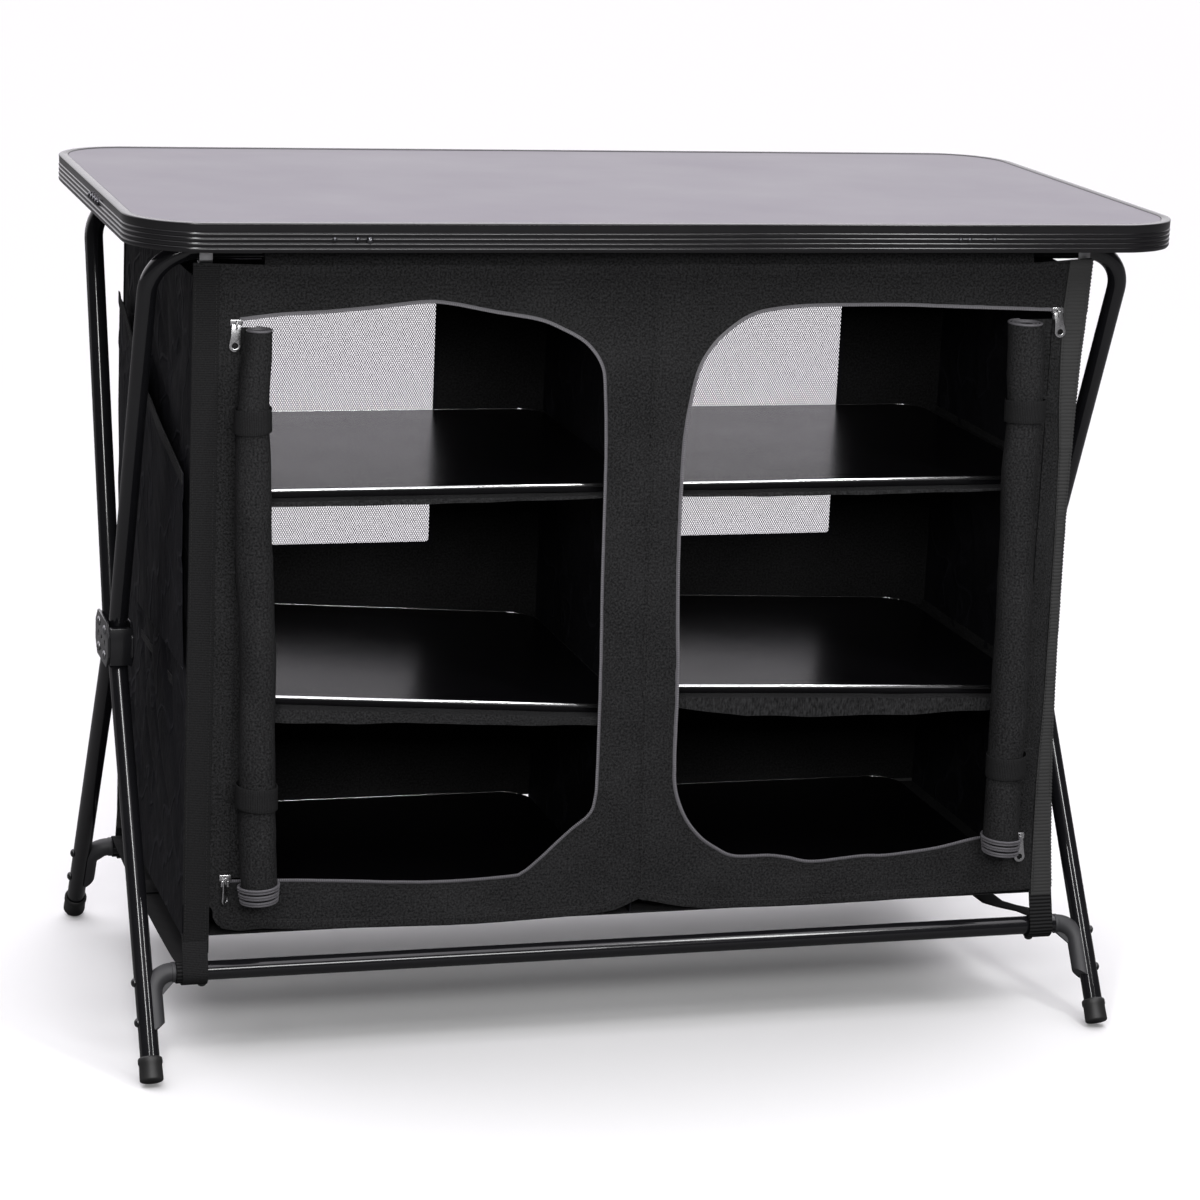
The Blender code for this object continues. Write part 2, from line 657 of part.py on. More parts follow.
def build_elbow(name, end, side, leg_space):
    down = Vector((0, end * math.sin(LOWER_SPLAY), -math.cos(LOWER_SPLAY)))
    inward = Vector((-side, 0, 0))
    bar = Vector((0, end * CROSSBAR_SPREAD, CROSSBAR_HEIGHT))
    corner = bar - inward * SHOE_PLANE
    mouth = bar - inward * ELBOW_MOUTH
    toe = corner + down * (ELBOW_BEND + ELBOW_SHOE)
    data = curve_data(name, [rounded_path([mouth, corner, toe], ELBOW_BEND, 6)], cyclic=False, flat=False)
    data.bevel_depth = TUBE_RADIUS
    data.bevel_resolution = TUBE_BEVEL_STEPS
    data.use_fill_caps = True
    elbow = place(meshed(data), name, "matte_black")

    def beyond(bm):
        reach = 4 * TUBE_RADIUS
        middle = corner - inward * (SHOE_LIP + reach / 2)
        add_box(bm, (reach, 4 * ELBOW_SHOE, 4 * ELBOW_SHOE), middle)

    def spigot(bm):
        add_rod(bm, TUBE_INSIDE - GAP, mouth - inward * SPIGOT_ROOT, mouth + inward * SPIGOT_LENGTH)

    def gusset(bm):
        inner = corner + (inward + down) * GUSSET_CENTRE
        turn = Matrix((inward, down, inward.cross(down))).transposed().to_4x4()
        diagonal = Matrix.Rotation(math.radians(45), 4, "Z")
        add_box(bm, (GUSSET_DEPTH, GUSSET_LENGTH, GUSSET_WALL), inner, turn @ diagonal)

    cut(elbow, make_cutter(gusset, name + "_gusset"), "UNION")
    cut(elbow, leg_space)
    cut(elbow, make_cutter(beyond, name + "_beyond"))
    cut(elbow, make_cutter(spigot, name + "_spigot"), "UNION")
    for drop in LEG_RIVET_DROPS:
        spot = leg_point(end, side, drop)
        root = Vector((side * (SHOE_PLANE - TUBE_RADIUS / 2), spot.y, spot.z))
        head = Vector((side * (TUBE_PLANE + TUBE_RADIUS + GAP), spot.y, spot.z))
        cut(elbow, pin("leg_rivet", LEG_RIVET_RADIUS, LEG_RIVET_HEAD, LEG_RIVET_DOME, root, head), "UNION")
    root = bar - inward * (STRAP_X - BAR_RIVET_OFFSET)
    head = root - Vector((0, 0, CORNER_LOOP + STRAP_WALL / 2 + GAP))
    cut(elbow, pin("bar_rivet", LEG_RIVET_RADIUS, LEG_RIVET_HEAD, LEG_RIVET_DOME, root, head), "UNION")


def build_lower_frames(pivot_cutter, rivet_cutter):
    ground = (2 * TABLE_WIDTH, 2 * TABLE_DEPTH, FLOOR_DEPTH)
    floor = make_cutter(lambda bm: add_box(bm, ground, (0, 0, -FLOOR_DEPTH / 2)), "floor")
    leg_length = LOWER_PIVOT / math.cos(LOWER_SPLAY)
    bore = TUBE_RADIUS + GAP
    cap_radius = bore + CAP_WALL
    cap_end = leg_length - cap_radius * math.tan(LOWER_SPLAY) + CAP_FLAT / math.cos(LOWER_SPLAY)
    tube_end = cap_end - CAP_BASE - GAP
    cap_profile = [(0.0, CAP_BASE), (bore, CAP_BASE), (bore, CAP_LENGTH), (cap_radius, CAP_LENGTH),
                   (cap_radius, 0.0), (0.0, 0.0)]
    mouth = ELBOW_MOUTH - GAP
    for end_name, end in ENDS.items():
        for side_name, side in SIDES.items():
            name = f"{end_name}_{side_name}_"
            top, bottom = pivot_spot(end, side, -1, -TUBE_END), pivot_spot(end, side, -1, tube_end)
            leg = tube(name + "leg", [top, bottom], "black_tube")
            cut(cut(leg, pivot_cutter), rivet_cutter)
            leg_space = make_cutter(
                lambda bm: add_rod(bm, TUBE_RADIUS + GAP, top, bottom, 16), name + "leg_space")
            build_elbow(name + "elbow", end, side, leg_space)

            base = pivot_spot(end, side, -1, cap_end)
            turn = (top - base).to_track_quat("Z", "X").to_matrix().to_4x4()
            foot = turned(name + "foot", cap_profile, "rubber", Matrix.Translation(base) @ turn, steps=16)
            cut(foot, floor)
            build_lower_strap(name + "lower_strap", end, side, rivet_cutter)
        bar = [(-mouth, end * CROSSBAR_SPREAD, CROSSBAR_HEIGHT),
               (mouth, end * CROSSBAR_SPREAD, CROSSBAR_HEIGHT)]
        cut(tube(end_name + "_crossbar", bar, "black_tube"), rivet_cutter)


def build_lower_strap(name, end, side, rivet_cutter):
    """The webbing from under the bag down round the crossbar's front, riveted to it from below."""
    path = [(FRONT_FACE - STRAP_WALL / 2, BAG_BOTTOM - GAP)]
    path += arc((-CROSSBAR_SPREAD, CROSSBAR_HEIGHT), CORNER_LOOP, *LOWER_STRAP_WRAP, 9)
    spot = Matrix.Translation((side * STRAP_X, 0, 0)) @ STAND_YZ
    cut(ribbon(name, mirrored(path, end), STRAP_WIDTH, STRAP_WALL, "webbing", spot), rivet_cutter)


def door_edge(offset, side_end):
    """The left door's edge from the top of its sewn side round to the bottom, moved out by offset."""
    inner = -DOOR_INNER + offset
    top, bottom = DOOR_TOP + offset, DOOR_BOTTOM - offset
    corners = [(-side_end, top, 0), (inner, top, 0), (inner, bottom, 0), (-side_end, bottom, 0)]
    return [point[:2] for point in rounded_path(corners, DOOR_CORNER + offset, 6)]


def build_walls():
    half = FABRIC / 2
    depth = DEPTH_INSIDE - GAP
    side_top = BAG_TOP - SIDE_DROP
    for name, side in SIDES.items():
        centre = (side * (BAG_HALF_WIDTH - half), 0, (side_top + BAG_BOTTOM) / 2)
        box(name + "_wall", (FABRIC, 2 * depth, side_top - BAG_BOTTOM), centre, "nylon")
    low, high = BAG_BOTTOM + FABRIC + GAP, FLAP_BOTTOM - GAP
    box("divider", (FABRIC, 2 * depth, high - low), (0, 0, (high + low) / 2), "nylon")
    box("bag_floor", (2 * (WALL_INSIDE - GAP), 2 * depth, FABRIC), (0, 0, BAG_BOTTOM + half), "nylon")

    rear = BAG_HALF_DEPTH - POCKET_REAR_GAP
    outline = [(-depth, 0.0), (rear, 0.0), (rear, POCKET_DEPTH_DROP - POCKET_REAR_DROP),
               (-depth, POCKET_DEPTH_DROP - POCKET_FRONT_DROP)]
    spot = Matrix.Translation((-(BAG_HALF_WIDTH + GAP + half), 0, BAG_TOP - POCKET_DEPTH_DROP))
    lean = Matrix.Rotation(math.radians(-POCKET_BULGE), 4, "Y")
    plate("side_pocket", [outline], FABRIC, "nylon", spot @ lean @ STAND_YZ)


def strap_bands(end):
    """The webbing sewn down a wall's corners, from which the straps to the crossbar carry on."""
    def build(bm):
        sunk = STRAP_WALL + SEAM_DEPTH
        y = end * (BAG_HALF_DEPTH + STRAP_WALL - sunk / 2)
        size = (STRAP_WIDTH, sunk, BAG_TOP - BAG_BOTTOM - 2 * GAP)
        for side in SIDES.values():
            add_box(bm, size, (side * STRAP_X, y, (BAG_TOP + BAG_BOTTOM) / 2))
    return build


def build_front_and_rear():
    wall = [(-BAG_HALF_WIDTH, BAG_BOTTOM), (BAG_HALF_WIDTH, BAG_BOTTOM),
            (BAG_HALF_WIDTH, BAG_TOP), (-BAG_HALF_WIDTH, BAG_TOP)]
    middle = BAG_HALF_DEPTH - FABRIC / 2
    stand = Matrix.Translation((0, -middle, 0)) @ STAND_XZ
    doors = [mirrored(door_edge(0.0, DOOR_OUTER), side) for side in SIDES.values()]
    front = plate("front_wall", [wall, *doors], FABRIC, "cloth", stand)
    cut(front, make_cutter(strap_bands(-1), "front_strap_bands"), "UNION")

    rings = [circle(FRONT_FACE - ROLL_Y, segments=24), circle(ROLL_RADIUS + GAP, segments=24)]
    tail_start = ROLL_X - TIE_TUCK
    tail_length = DOOR_OUTER + TIE_SEAM - tail_start
    tail_wall = ZIP_WALL + SEAM_DEPTH
    for side in SIDES.values():
        for height in (BAG_BOTTOM + LOWER_TIE_RISE, BAG_TOP - UPPER_TIE_DROP):
            tie = plate("door_tie", rings, TIE_WIDTH, "webbing",
                        Matrix.Translation((side * ROLL_X, ROLL_Y, height)))

            def tail(bm):
                centre = (side * (tail_start + tail_length / 2), FRONT_FACE + SEAM_DEPTH - tail_wall / 2,
                          height)
                add_box(bm, (tail_length, tail_wall, TIE_WIDTH - 2 * GAP), centre)

            cut(tie, make_cutter(tail, "tie_tail"), "UNION")
            cut(front, as_cutter(tie), "UNION")

    rear = plate("rear_wall", [wall], FABRIC, "cloth", Matrix.Translation((0, middle, 0)) @ STAND_XZ)
    cut(rear, make_cutter(strap_bands(1), "rear_strap_bands"), "UNION")
    cut(rear, make_cutter(net_gaps, "net_gaps"))


def net_gaps(bm):
    """The open squares between the strands of the two windows' netting."""
    pitch_x = WINDOW_WIDTH / NET_GAPS_X
    pitch_z = WINDOW_HEIGHT / NET_GAPS_Z
    outer = BAG_HALF_WIDTH - WINDOW_SIDE
    top = BAG_TOP - WINDOW_DROP
    size = (pitch_x - NET_STRAND, 4 * FABRIC, pitch_z - NET_STRAND)
    for side in SIDES.values():
        for column in range(NET_GAPS_X):
            for row in range(NET_GAPS_Z):
                x = side * (outer - (column + 0.5) * pitch_x)
                z = top - (row + 0.5) * pitch_z
                add_box(bm, size, (x, BAG_HALF_DEPTH - FABRIC / 2, z))


def board_place(level, side):
    """Where a board's middle lies, turned by the sag of the cloth under it."""
    tilt = math.radians(BOARD_TILTS.get((level, side), 0.0))
    spot = (side * BOARD_X, BOARD_Y, BOARD_TOPS[level])
    return Matrix.Translation(spot) @ Matrix.Rotation(tilt, 4, "Y")


def build_shelves():
    outline = rounded_rectangle(BOARD_OUTER - BOARD_INNER, BOARD_REAR - BOARD_FRONT, BOARD_CORNER, steps=5)
    for side_name, side in SIDES.items():
        for level in BOARD_TOPS:
            spot = board_place(level, side) @ Matrix.Translation((0, 0, -BOARD_THICKNESS / 2))
            plate(f"{level}_{side_name}_board", [outline], BOARD_THICKNESS, "board", spot)

    under = -(BOARD_THICKNESS + GAP + FABRIC / 2)
    front = FRONT_FACE + DECK_FRONT_GAP - BOARD_Y
    rear = DEPTH_INSIDE - GAP - BOARD_Y
    path = [(rear, under), (front, under), (front, under - DECK_HEM)]
    width = WALL_INSIDE - FABRIC / 2 - 2 * DECK_SIDE_GAP
    middle = (WALL_INSIDE + FABRIC / 2) / 2 - BOARD_X
    for level in ("middle", "upper"):
        for side_name, side in SIDES.items():
            spot = board_place(level, side) @ Matrix.Translation((side * middle, 0, 0)) @ STAND_YZ
            ribbon(f"{level}_{side_name}_deck", path, width, FABRIC, "nylon", spot)


def spiral_outline():
    """The rolled cloth's section: one band wound round a core, its two sides a cloth's wall apart."""
    steps = 18 * ROLL_TURNS
    outer, inner = [], []
    for step in range(steps + 1):
        share = step / steps
        angle = math.pi / 2 - math.tau * ROLL_TURNS * (1 - share)
        radius = ROLL_CORE + (ROLL_RADIUS - ROLL_CORE) * share
        outer.append((radius * math.cos(angle), radius * math.sin(angle)))
        inner.append(((radius - ROLL_CLOTH) * math.cos(angle), (radius - ROLL_CLOTH) * math.sin(angle)))
    return outer + inner[::-1]


def build_doors():
    spiral = spiral_outline()
    zip_end = DOOR_OUTER + ZIP_TAIL
    band = door_edge(ZIP_WIDTH / 2, zip_end) + door_edge(-ZIP_WIDTH / 2, zip_end)[::-1]
    stand = Matrix.Translation((0, FRONT_FACE - GAP - ZIP_WALL / 2, 0)) @ STAND_XZ
    slider_y = FRONT_FACE - GAP - SLIDER_SIZE[1] / 2
    pull_y = FRONT_FACE - SLIDER_SIZE[1] - 2 * GAP - PULL_WALL / 2
    pull_edge = PULL_WIDTH / 2
    pull_end = PULL_WALL / 2 - PULL_LENGTH
    outline = [(pull_edge, PULL_WALL / 2), (-pull_edge, PULL_WALL / 2)]
    outline += arc((0, pull_end + pull_edge), pull_edge, 180, 360, 6)
    hole = circle(PULL_HOLE, (0, pull_end + pull_edge), segments=8)
    for name, side in SIDES.items():
        bottom = BAG_BOTTOM + ROLL_RISES[name]
        spot = Matrix.Translation((side * ROLL_X, ROLL_Y, (ROLL_TOP + bottom) / 2))
        plate(name + "_door_roll", [mirrored(spiral, side)], ROLL_TOP - bottom, "cloth", spot)
        upper = BAG_TOP - UPPER_SLIDER_DROPS[name]
        lower = BAG_BOTTOM + LOWER_SLIDER_RISES[name]

        def sliders(bm):
            for height, zip_height in ((upper, DOOR_TOP), (lower, DOOR_BOTTOM)):
                width, depth, length = SLIDER_SIZE
                size = (width, depth, length + abs(zip_height - height))
                add_box(bm, size, (side * SLIDER_X, slider_y, (height + zip_height) / 2))

        zip_tape = plate(name + "_door_zip", [mirrored(band, side)], ZIP_WALL, "zip_tape", stand)
        cut(zip_tape, make_cutter(sliders, name + "_zip_sliders"), "UNION")
        for level, height in (("upper", upper), ("lower", lower)):
            spot = Matrix.Translation((side * SLIDER_X, pull_y, height)) @ STAND_XZ
            plate(f"{level}_{name}_pull", [outline, hole], PULL_WALL, "aluminium", spot)


def build_tie_straps():
    """The webbing that stops the legs from spreading, a loop round each crossbar and a joined run."""
    loop = arc((-CROSSBAR_SPREAD, CROSSBAR_HEIGHT), TIE_LOOP, *TIE_STRAP_WRAP, 12)
    under = CROSSBAR_HEIGHT + TIE_LOOP - STRAP_WALL - GAP
    rise = under - loop[-1][1]
    loop.append((loop[-1][0] + rise * math.tan(math.radians(TIE_STRAP_LEAN)), under))
    path = loop[::-1] + mirrored(loop, 1)
    insets = {"left": LEFT_TIE_STRAP_INSET, "right": RIGHT_TIE_STRAP_INSET}
    for name, side in SIDES.items():
        spot = Matrix.Translation((side * (BAG_HALF_WIDTH - insets[name]), 0, 0)) @ STAND_YZ
        ribbon(name + "_tie_strap", path, TIE_STRAP_WIDTH, STRAP_WALL, "webbing", spot)


def carry(name, spot, pieces, parent=None):
    """An empty on a joint's axis, which carries the pieces that move on that joint."""
    empty = bpy.data.objects.new(name, None)
    PARTS.objects.link(empty)
    empty.matrix_world = Matrix.Translation(spot)
    if parent:
        empty.parent = parent
        empty.matrix_parent_inverse = parent.matrix_world.inverted()
    for piece in pieces:
        item = bpy.data.objects[piece]
        item.parent = empty
        item.matrix_parent_inverse = empty.matrix_world.inverted()
    return empty


def build_joints():
    """Hangs every moving piece on its joint; the hubs' plates stay where they are."""
    corners = [f"{end}_{side}" for end in ENDS for side in SIDES]
    for name, end in ENDS.items():
        y = end * PIVOT_HALF_Y
        carry(name + "_upper_axis", (0, y, UPPER_PIVOT), [name + "_upper_tube", name + "_hanging_flap"])
        lower = [f"{name}_{side}_{piece}" for side in SIDES
                 for piece in ("leg", "elbow", "foot", "lower_strap")]
        carry(name + "_lower_axis", (0, y, LOWER_PIVOT), [name + "_crossbar", *lower])
    carry("table_rise", (0, 0, RAIL_HEIGHT),
          ["table_panel", "table_trim"] + [corner + "_clip" for corner in corners])
    carry("tie_strap_rise", (0, 0, CROSSBAR_HEIGHT), [side + "_tie_strap" for side in SIDES])

    decks = [f"{level}_{side}_deck" for level in ("middle", "upper") for side in SIDES]
    boards = [f"{level}_{side}_board" for level in BOARD_TOPS for side in SIDES]
    walls = ["left_wall", "right_wall", "rear_wall", "divider", "bag_floor", "side_pocket"]
    bag = carry("bag_rise", (0, 0, BAG_TOP), walls + decks + boards)
    doors = [f"{side}_door_{piece}" for side in SIDES for piece in ("roll", "zip")]
    pulls = [f"{level}_{side}_pull" for level in ("lower", "upper") for side in SIDES]
    carry("front_gather", (0, FRONT_FACE, BAG_TOP), ["front_wall", *doors, *pulls], parent=bag)


clear_scene()
PARTS = make_collection("camping_cupboard")
CUTTERS = make_collection("cutters")


def main():
    pivot_cutter = make_cutter(pivot_holes, "pivot_holes")
    rivet_cutter = make_cutter(rivet_holes, "rivet_holes")
    build_worktop()
    build_hubs(pivot_cutter)
    build_upper_frames(pivot_cutter)
    build_lower_frames(pivot_cutter, rivet_cutter)
    build_walls()
    build_front_and_rear()
    build_shelves()
    build_doors()
    build_tie_straps()
    build_joints()


main()
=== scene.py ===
"""The finished look of a folding camping cupboard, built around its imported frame."""
import json
import math
from contextlib import contextmanager

import bmesh
import bpy
from bpy.props import FloatProperty, FloatVectorProperty, IntProperty, PointerProperty
from bpy.types import Operator, Panel, PropertyGroup
from mathutils import Matrix, Vector, noise
from mathutils.geometry import delaunay_2d_cdt, interpolate_bezier
from mathutils.kdtree import KDTree


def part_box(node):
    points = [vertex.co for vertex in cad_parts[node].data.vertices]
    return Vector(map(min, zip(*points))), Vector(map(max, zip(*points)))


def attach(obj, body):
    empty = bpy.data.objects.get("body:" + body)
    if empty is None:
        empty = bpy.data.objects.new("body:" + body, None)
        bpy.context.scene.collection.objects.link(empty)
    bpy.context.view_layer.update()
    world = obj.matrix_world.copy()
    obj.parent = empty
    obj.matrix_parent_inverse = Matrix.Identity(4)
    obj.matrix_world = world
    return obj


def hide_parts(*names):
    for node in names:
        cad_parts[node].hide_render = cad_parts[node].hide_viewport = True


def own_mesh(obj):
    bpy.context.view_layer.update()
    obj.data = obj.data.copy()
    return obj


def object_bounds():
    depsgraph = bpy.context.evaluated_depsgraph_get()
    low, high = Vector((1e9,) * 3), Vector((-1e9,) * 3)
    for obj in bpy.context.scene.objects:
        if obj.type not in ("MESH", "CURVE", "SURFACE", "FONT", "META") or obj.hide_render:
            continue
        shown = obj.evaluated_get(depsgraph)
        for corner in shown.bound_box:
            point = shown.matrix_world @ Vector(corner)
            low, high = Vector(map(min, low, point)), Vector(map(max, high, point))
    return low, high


bl_info = {
    "name": "Camping cupboard",
    "version": (1, 0, 0),
    "blender": (4, 5, 0),
    "location": "3D View > Sidebar > Cupboard",
    "description": "Dresses a folding camping cupboard with cloth, webbing, tube and trim",
    "category": "Object",
}

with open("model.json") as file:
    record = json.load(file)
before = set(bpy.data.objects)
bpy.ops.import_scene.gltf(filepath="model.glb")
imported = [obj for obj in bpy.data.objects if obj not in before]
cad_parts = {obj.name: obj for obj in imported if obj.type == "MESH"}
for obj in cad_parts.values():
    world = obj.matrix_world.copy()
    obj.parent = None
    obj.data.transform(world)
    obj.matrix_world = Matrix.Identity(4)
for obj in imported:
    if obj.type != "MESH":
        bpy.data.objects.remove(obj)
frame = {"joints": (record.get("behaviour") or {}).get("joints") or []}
CAD_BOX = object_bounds()
ENDS = {"front": -1, "rear": 1}
SIDES = {"left": -1, "right": 1}
HINGES = {joint["child"]: Vector(joint["pos_m"]) for joint in frame["joints"] if joint["type"] == "hinge"}

TRIM_LOW, TRIM_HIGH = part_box("table_trim")
WALL_LOW, WALL_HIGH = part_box("left_wall")
FLOOR_LOW, FLOOR_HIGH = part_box("bag_floor")
REAR_LOW, REAR_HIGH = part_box("rear_wall")
BAR_LOW, BAR_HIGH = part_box("front_crossbar")
FRONT_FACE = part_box("left_door_zip")[1].y - 0.0003
BAG_SIDE = -WALL_LOW.x
BAG_TOP = REAR_HIGH.z
BAG_BOTTOM = REAR_LOW.z
BAR_HEIGHT = (BAR_LOW.z + BAR_HIGH.z) / 2
BAR_SPREAD = -(BAR_LOW.y + BAR_HIGH.y) / 2
TUBE_PLANE = (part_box("front_left_leg")[0].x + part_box("front_left_leg")[1].x) / -2
PIVOT_Y = HINGES["rear_upper_frame"].y
UPPER_PIVOT = HINGES["rear_upper_frame"].z
LOWER_PIVOT = HINGES["rear_lower_frame"].z
CLOTH_MAP = "cloth"
PAINTS = bpy.data.materials
# Clearance that a fitted piece keeps to its neighbour
GAP = 0.0003
TOP_HALF_X, TOP_HALF_Y = 0.5, 0.26


def length(name, description, default):
    """A length in metres, for a property group."""
    return FloatProperty(name=name, description=description, default=default, unit="LENGTH")


def shade(name, description, default):
    """A base colour, for a property group."""
    return FloatVectorProperty(name=name, description=description, subtype="COLOR", default=default)


class FrameSizes(PropertyGroup):
    """Sizes of the tubes, the hubs, the elbows and the feet."""
    tube_radius: length("Tube radius", "Outer radius of every frame tube", 0.009)
    tube_sides: IntProperty(name="Tube sides", description="Sides of a tube's section", default=32)
    rail_bend: length("Rail bend", "Bend radius of the upper frames' corners", 0.045)
    rail_height: length("Rail height", "Height of the top rails' axis", 0.7644)
    rail_spread: length("Rail spread", "From the middle to a top rail's axis", 0.1745)
    tube_end: length("Tube end", "What a tube runs on past its pivot", 0.008)
    plate_wall: length("Hub plate", "Thickness of a hub's plates", 0.0025)
    elbow_bend: length("Elbow bend", "Bend radius of a plastic elbow", 0.019)
    elbow_shoe: length("Elbow shoe", "Length of an elbow's shoe down the leg", 0.036)
    cap_length: length("Foot length", "Length of a rubber foot", 0.024)
    cap_wall: length("Foot wall", "Wall of a rubber foot", 0.0017)


class WorktopSizes(PropertyGroup):
    """Sizes of the worktop's trim, its screws and its clips."""
    corner: length("Corner", "Corner radius of the worktop", 0.07)
    ribs: IntProperty(name="Ribs", description="Bright ribs along the trim", default=4)
    rib_depth: length("Rib depth", "How far a rib stands proud", 0.0012)
    trim_wall: length("Trim wall", "Wall behind the ribs", 0.0016)
    lip_reach: length("Lip", "How far the lip covers the panel", 0.006)
    lip: length("Lip wall", "Thickness of the lip", 0.0012)
    screw: length("Screw", "Radius of a trim screw's head", 0.0026)


class ClothSizes(PropertyGroup):
    """Sizes of the cloth, the seams, the zips and the straps."""
    wall: length("Cloth", "Thickness of the cabinet's cloth", 0.0010)
    spacing: length("Mesh spacing", "Edge length of the cloth's mesh", 0.0045)
    slack: length("Slack", "How far slack cloth bellies out", 0.0022)
    stitch: length("Stitch pitch", "From one stitch to the next", 0.0036)
    seam_offset: length("Seam offset", "From a door's edge to its stitching", 0.0080)
    tooth: length("Zip pitch", "From one zip tooth to the next", 0.0018)
    roll_radius: length("Roll", "Radius of a rolled door", 0.018)
    roll_turns: FloatProperty(name="Turns", description="Turns of cloth in a rolled door", default=4.6)
    net_pitch: length("Net pitch", "Pitch of the window netting", 0.0021)
    strand: length("Net strand", "Radius of a strand of netting", 0.00031)
    webbing: length("Webbing", "Thickness of the straps", 0.0015)
    strap: length("Strap width", "Width of the corner straps", 0.024)
    flap_wrap: FloatProperty(name="Flap wrap", description="How far a flap goes round its rail",
                             default=math.radians(300), subtype="ANGLE")


class Palette(PropertyGroup):
    """Base colours, in linear light."""
    laminate: shade("Laminate", "Worktop panel", (0.072, 0.057, 0.086))
    anodised: shade("Anodised", "Worktop trim", (0.0075, 0.0072, 0.0080))
    enamel: shade("Enamel", "Frame tubes", (0.006, 0.006, 0.007))
    plastic: shade("Plastic", "Elbows", (0.022, 0.022, 0.024))
    rubber: shade("Rubber", "Feet", (0.010, 0.010, 0.010))
    cloth: shade("Cloth", "Woven walls and doors", (0.0145, 0.0145, 0.0150))
    nylon: shade("Nylon", "Thin side walls and shelves", (0.0060, 0.0060, 0.0074))
    webbing: shade("Webbing", "Straps and bands", (0.0110, 0.0110, 0.0114))
    zip_tape: shade("Zip", "Zip tape and teeth", (0.135, 0.130, 0.142))
    board: shade("Board", "Shelf boards", (0.0018, 0.0017, 0.0021))
    bright_metal: shade("Bright metal", "Edge strips and zip pulls", (0.90, 0.90, 0.91))


class StudioSizes(PropertyGroup):
    """The camera and the light."""
    camera_place: FloatVectorProperty(name="Camera", description="Where the camera stands",
                                      default=(-1.0072, -3.3829, 1.2636), subtype="TRANSLATION",
                                      unit="LENGTH")
    yaw: FloatProperty(name="Yaw", description="Camera's turn towards +X", default=0.2928, subtype="ANGLE")
    pitch: FloatProperty(name="Pitch", description="Camera's dip", default=0.2434, subtype="ANGLE")
    roll: FloatProperty(name="Roll", description="Camera's roll", default=0.0448, subtype="ANGLE")
    lens: FloatProperty(name="Lens", description="Focal length in millimetres", default=110.03)
    key: FloatProperty(name="Key light", description="Power of the front softbox", default=42.0,
                       unit="POWER")
    strip: FloatProperty(name="Strip lights", description="Power of each high strip light", default=9.0,
                         unit="POWER")
    dome: FloatProperty(name="Dome", description="Brightness of the backdrop", default=1.2)
    ceiling: FloatProperty(name="Ceiling", description="Added brightness overhead", default=1.9)
    tint: FloatVectorProperty(name="Tint", description="Colour of the backdrop's light", subtype="COLOR",
                              default=(1.0, 0.975, 1.02))


class Socket:
    """A value in a node tree that can be used in expressions; each operator adds its Math node."""

    def __init__(self, graph, output):
        self.graph = graph
        self.output = output

    def __add__(self, other):
        return self.graph.maths("ADD", self, other)

    __radd__ = __add__

    def __sub__(self, other):
        return self.graph.maths("SUBTRACT", self, other)

    def __rsub__(self, other):
        return self.graph.maths("SUBTRACT", other, self)

    def __mul__(self, other):
        return self.graph.maths("MULTIPLY", self, other)

    __rmul__ = __mul__


class Graph:
    """A node tree under construction."""

    def __init__(self, tree):
        self.tree = tree

    def node(self, kind, settings=None, inputs=None, output=0):
        """Adds a node: its settings first, then the values or links of its sockets."""
        node = self.tree.nodes.new(kind)
        for name, value in (settings or {}).items():
            setattr(node, name, value)
        for name, value in (inputs or {}).items():
            self.feed(node.inputs[name], value)
        return Socket(self, node.outputs[output])

    def feed(self, socket, value):
        if isinstance(value, Socket):
            self.tree.links.new(value.output, socket)
        else:
            socket.default_value = value

    def maths(self, operation, first, second=0.0):
        return self.node("ShaderNodeMath", {"operation": operation}, {0: first, 1: second})


class Finish(Graph):
    """A material with one Principled shader."""

    def __init__(self, name, colour, roughness, metallic=0.0, **fixed):
        self.material = bpy.data.materials.new(name)
        self.material.use_nodes = True
        super().__init__(self.material.node_tree)
        self.shader = self.tree.nodes["Principled BSDF"]
        self.shader.inputs["Base Color"].default_value = (*colour, 1.0)
        self.shader.inputs["Roughness"].default_value = roughness
        self.shader.inputs["Metallic"].default_value = metallic
        for name, value in fixed.items():
            self.shader.inputs[name.replace("_", " ")].default_value = value

    def place(self):
        return self.node("ShaderNodeTexCoord", output=3)

    def flat_cloth(self):
        return self.node("ShaderNodeUVMap", {"uv_map": CLOTH_MAP})

    def noise(self, vector, scale, detail=2.0, roughness=0.5):
        values = {"Vector": vector, "Scale": scale, "Detail": detail, "Roughness": roughness}
        return self.node("ShaderNodeTexNoise", {"noise_dimensions": "3D"}, values)

    def wave(self, vector, scale, direction, distortion=0.0):
        return self.node("ShaderNodeTexWave", {"bands_direction": direction},
                         {"Vector": vector, "Scale": scale, "Distortion": distortion}, output=1)

    def between(self, amount, low, high, start=0.0, end=1.0):
        return self.node("ShaderNodeMapRange", {"clamp": True}, {
            "Value": amount, "From Min": start, "From Max": end, "To Min": low, "To Max": high})

    def blend(self, factor, first, second):
        return self.node("ShaderNodeMix", {"data_type": "RGBA"},
                         {0: factor, 6: (*first, 1.0), 7: (*second, 1.0)}, output=2)

    def bump(self, height, distance, strength=1.0, under=None):
        inputs = {"Height": height, "Distance": distance, "Strength": strength}
        if under:
            inputs["Normal"] = under
        return self.node("ShaderNodeBump", None, inputs)

    def wear(self, **sockets):
        for name, value in sockets.items():
            self.feed(self.shader.inputs[name.replace("_", " ")], value)
        return self.material


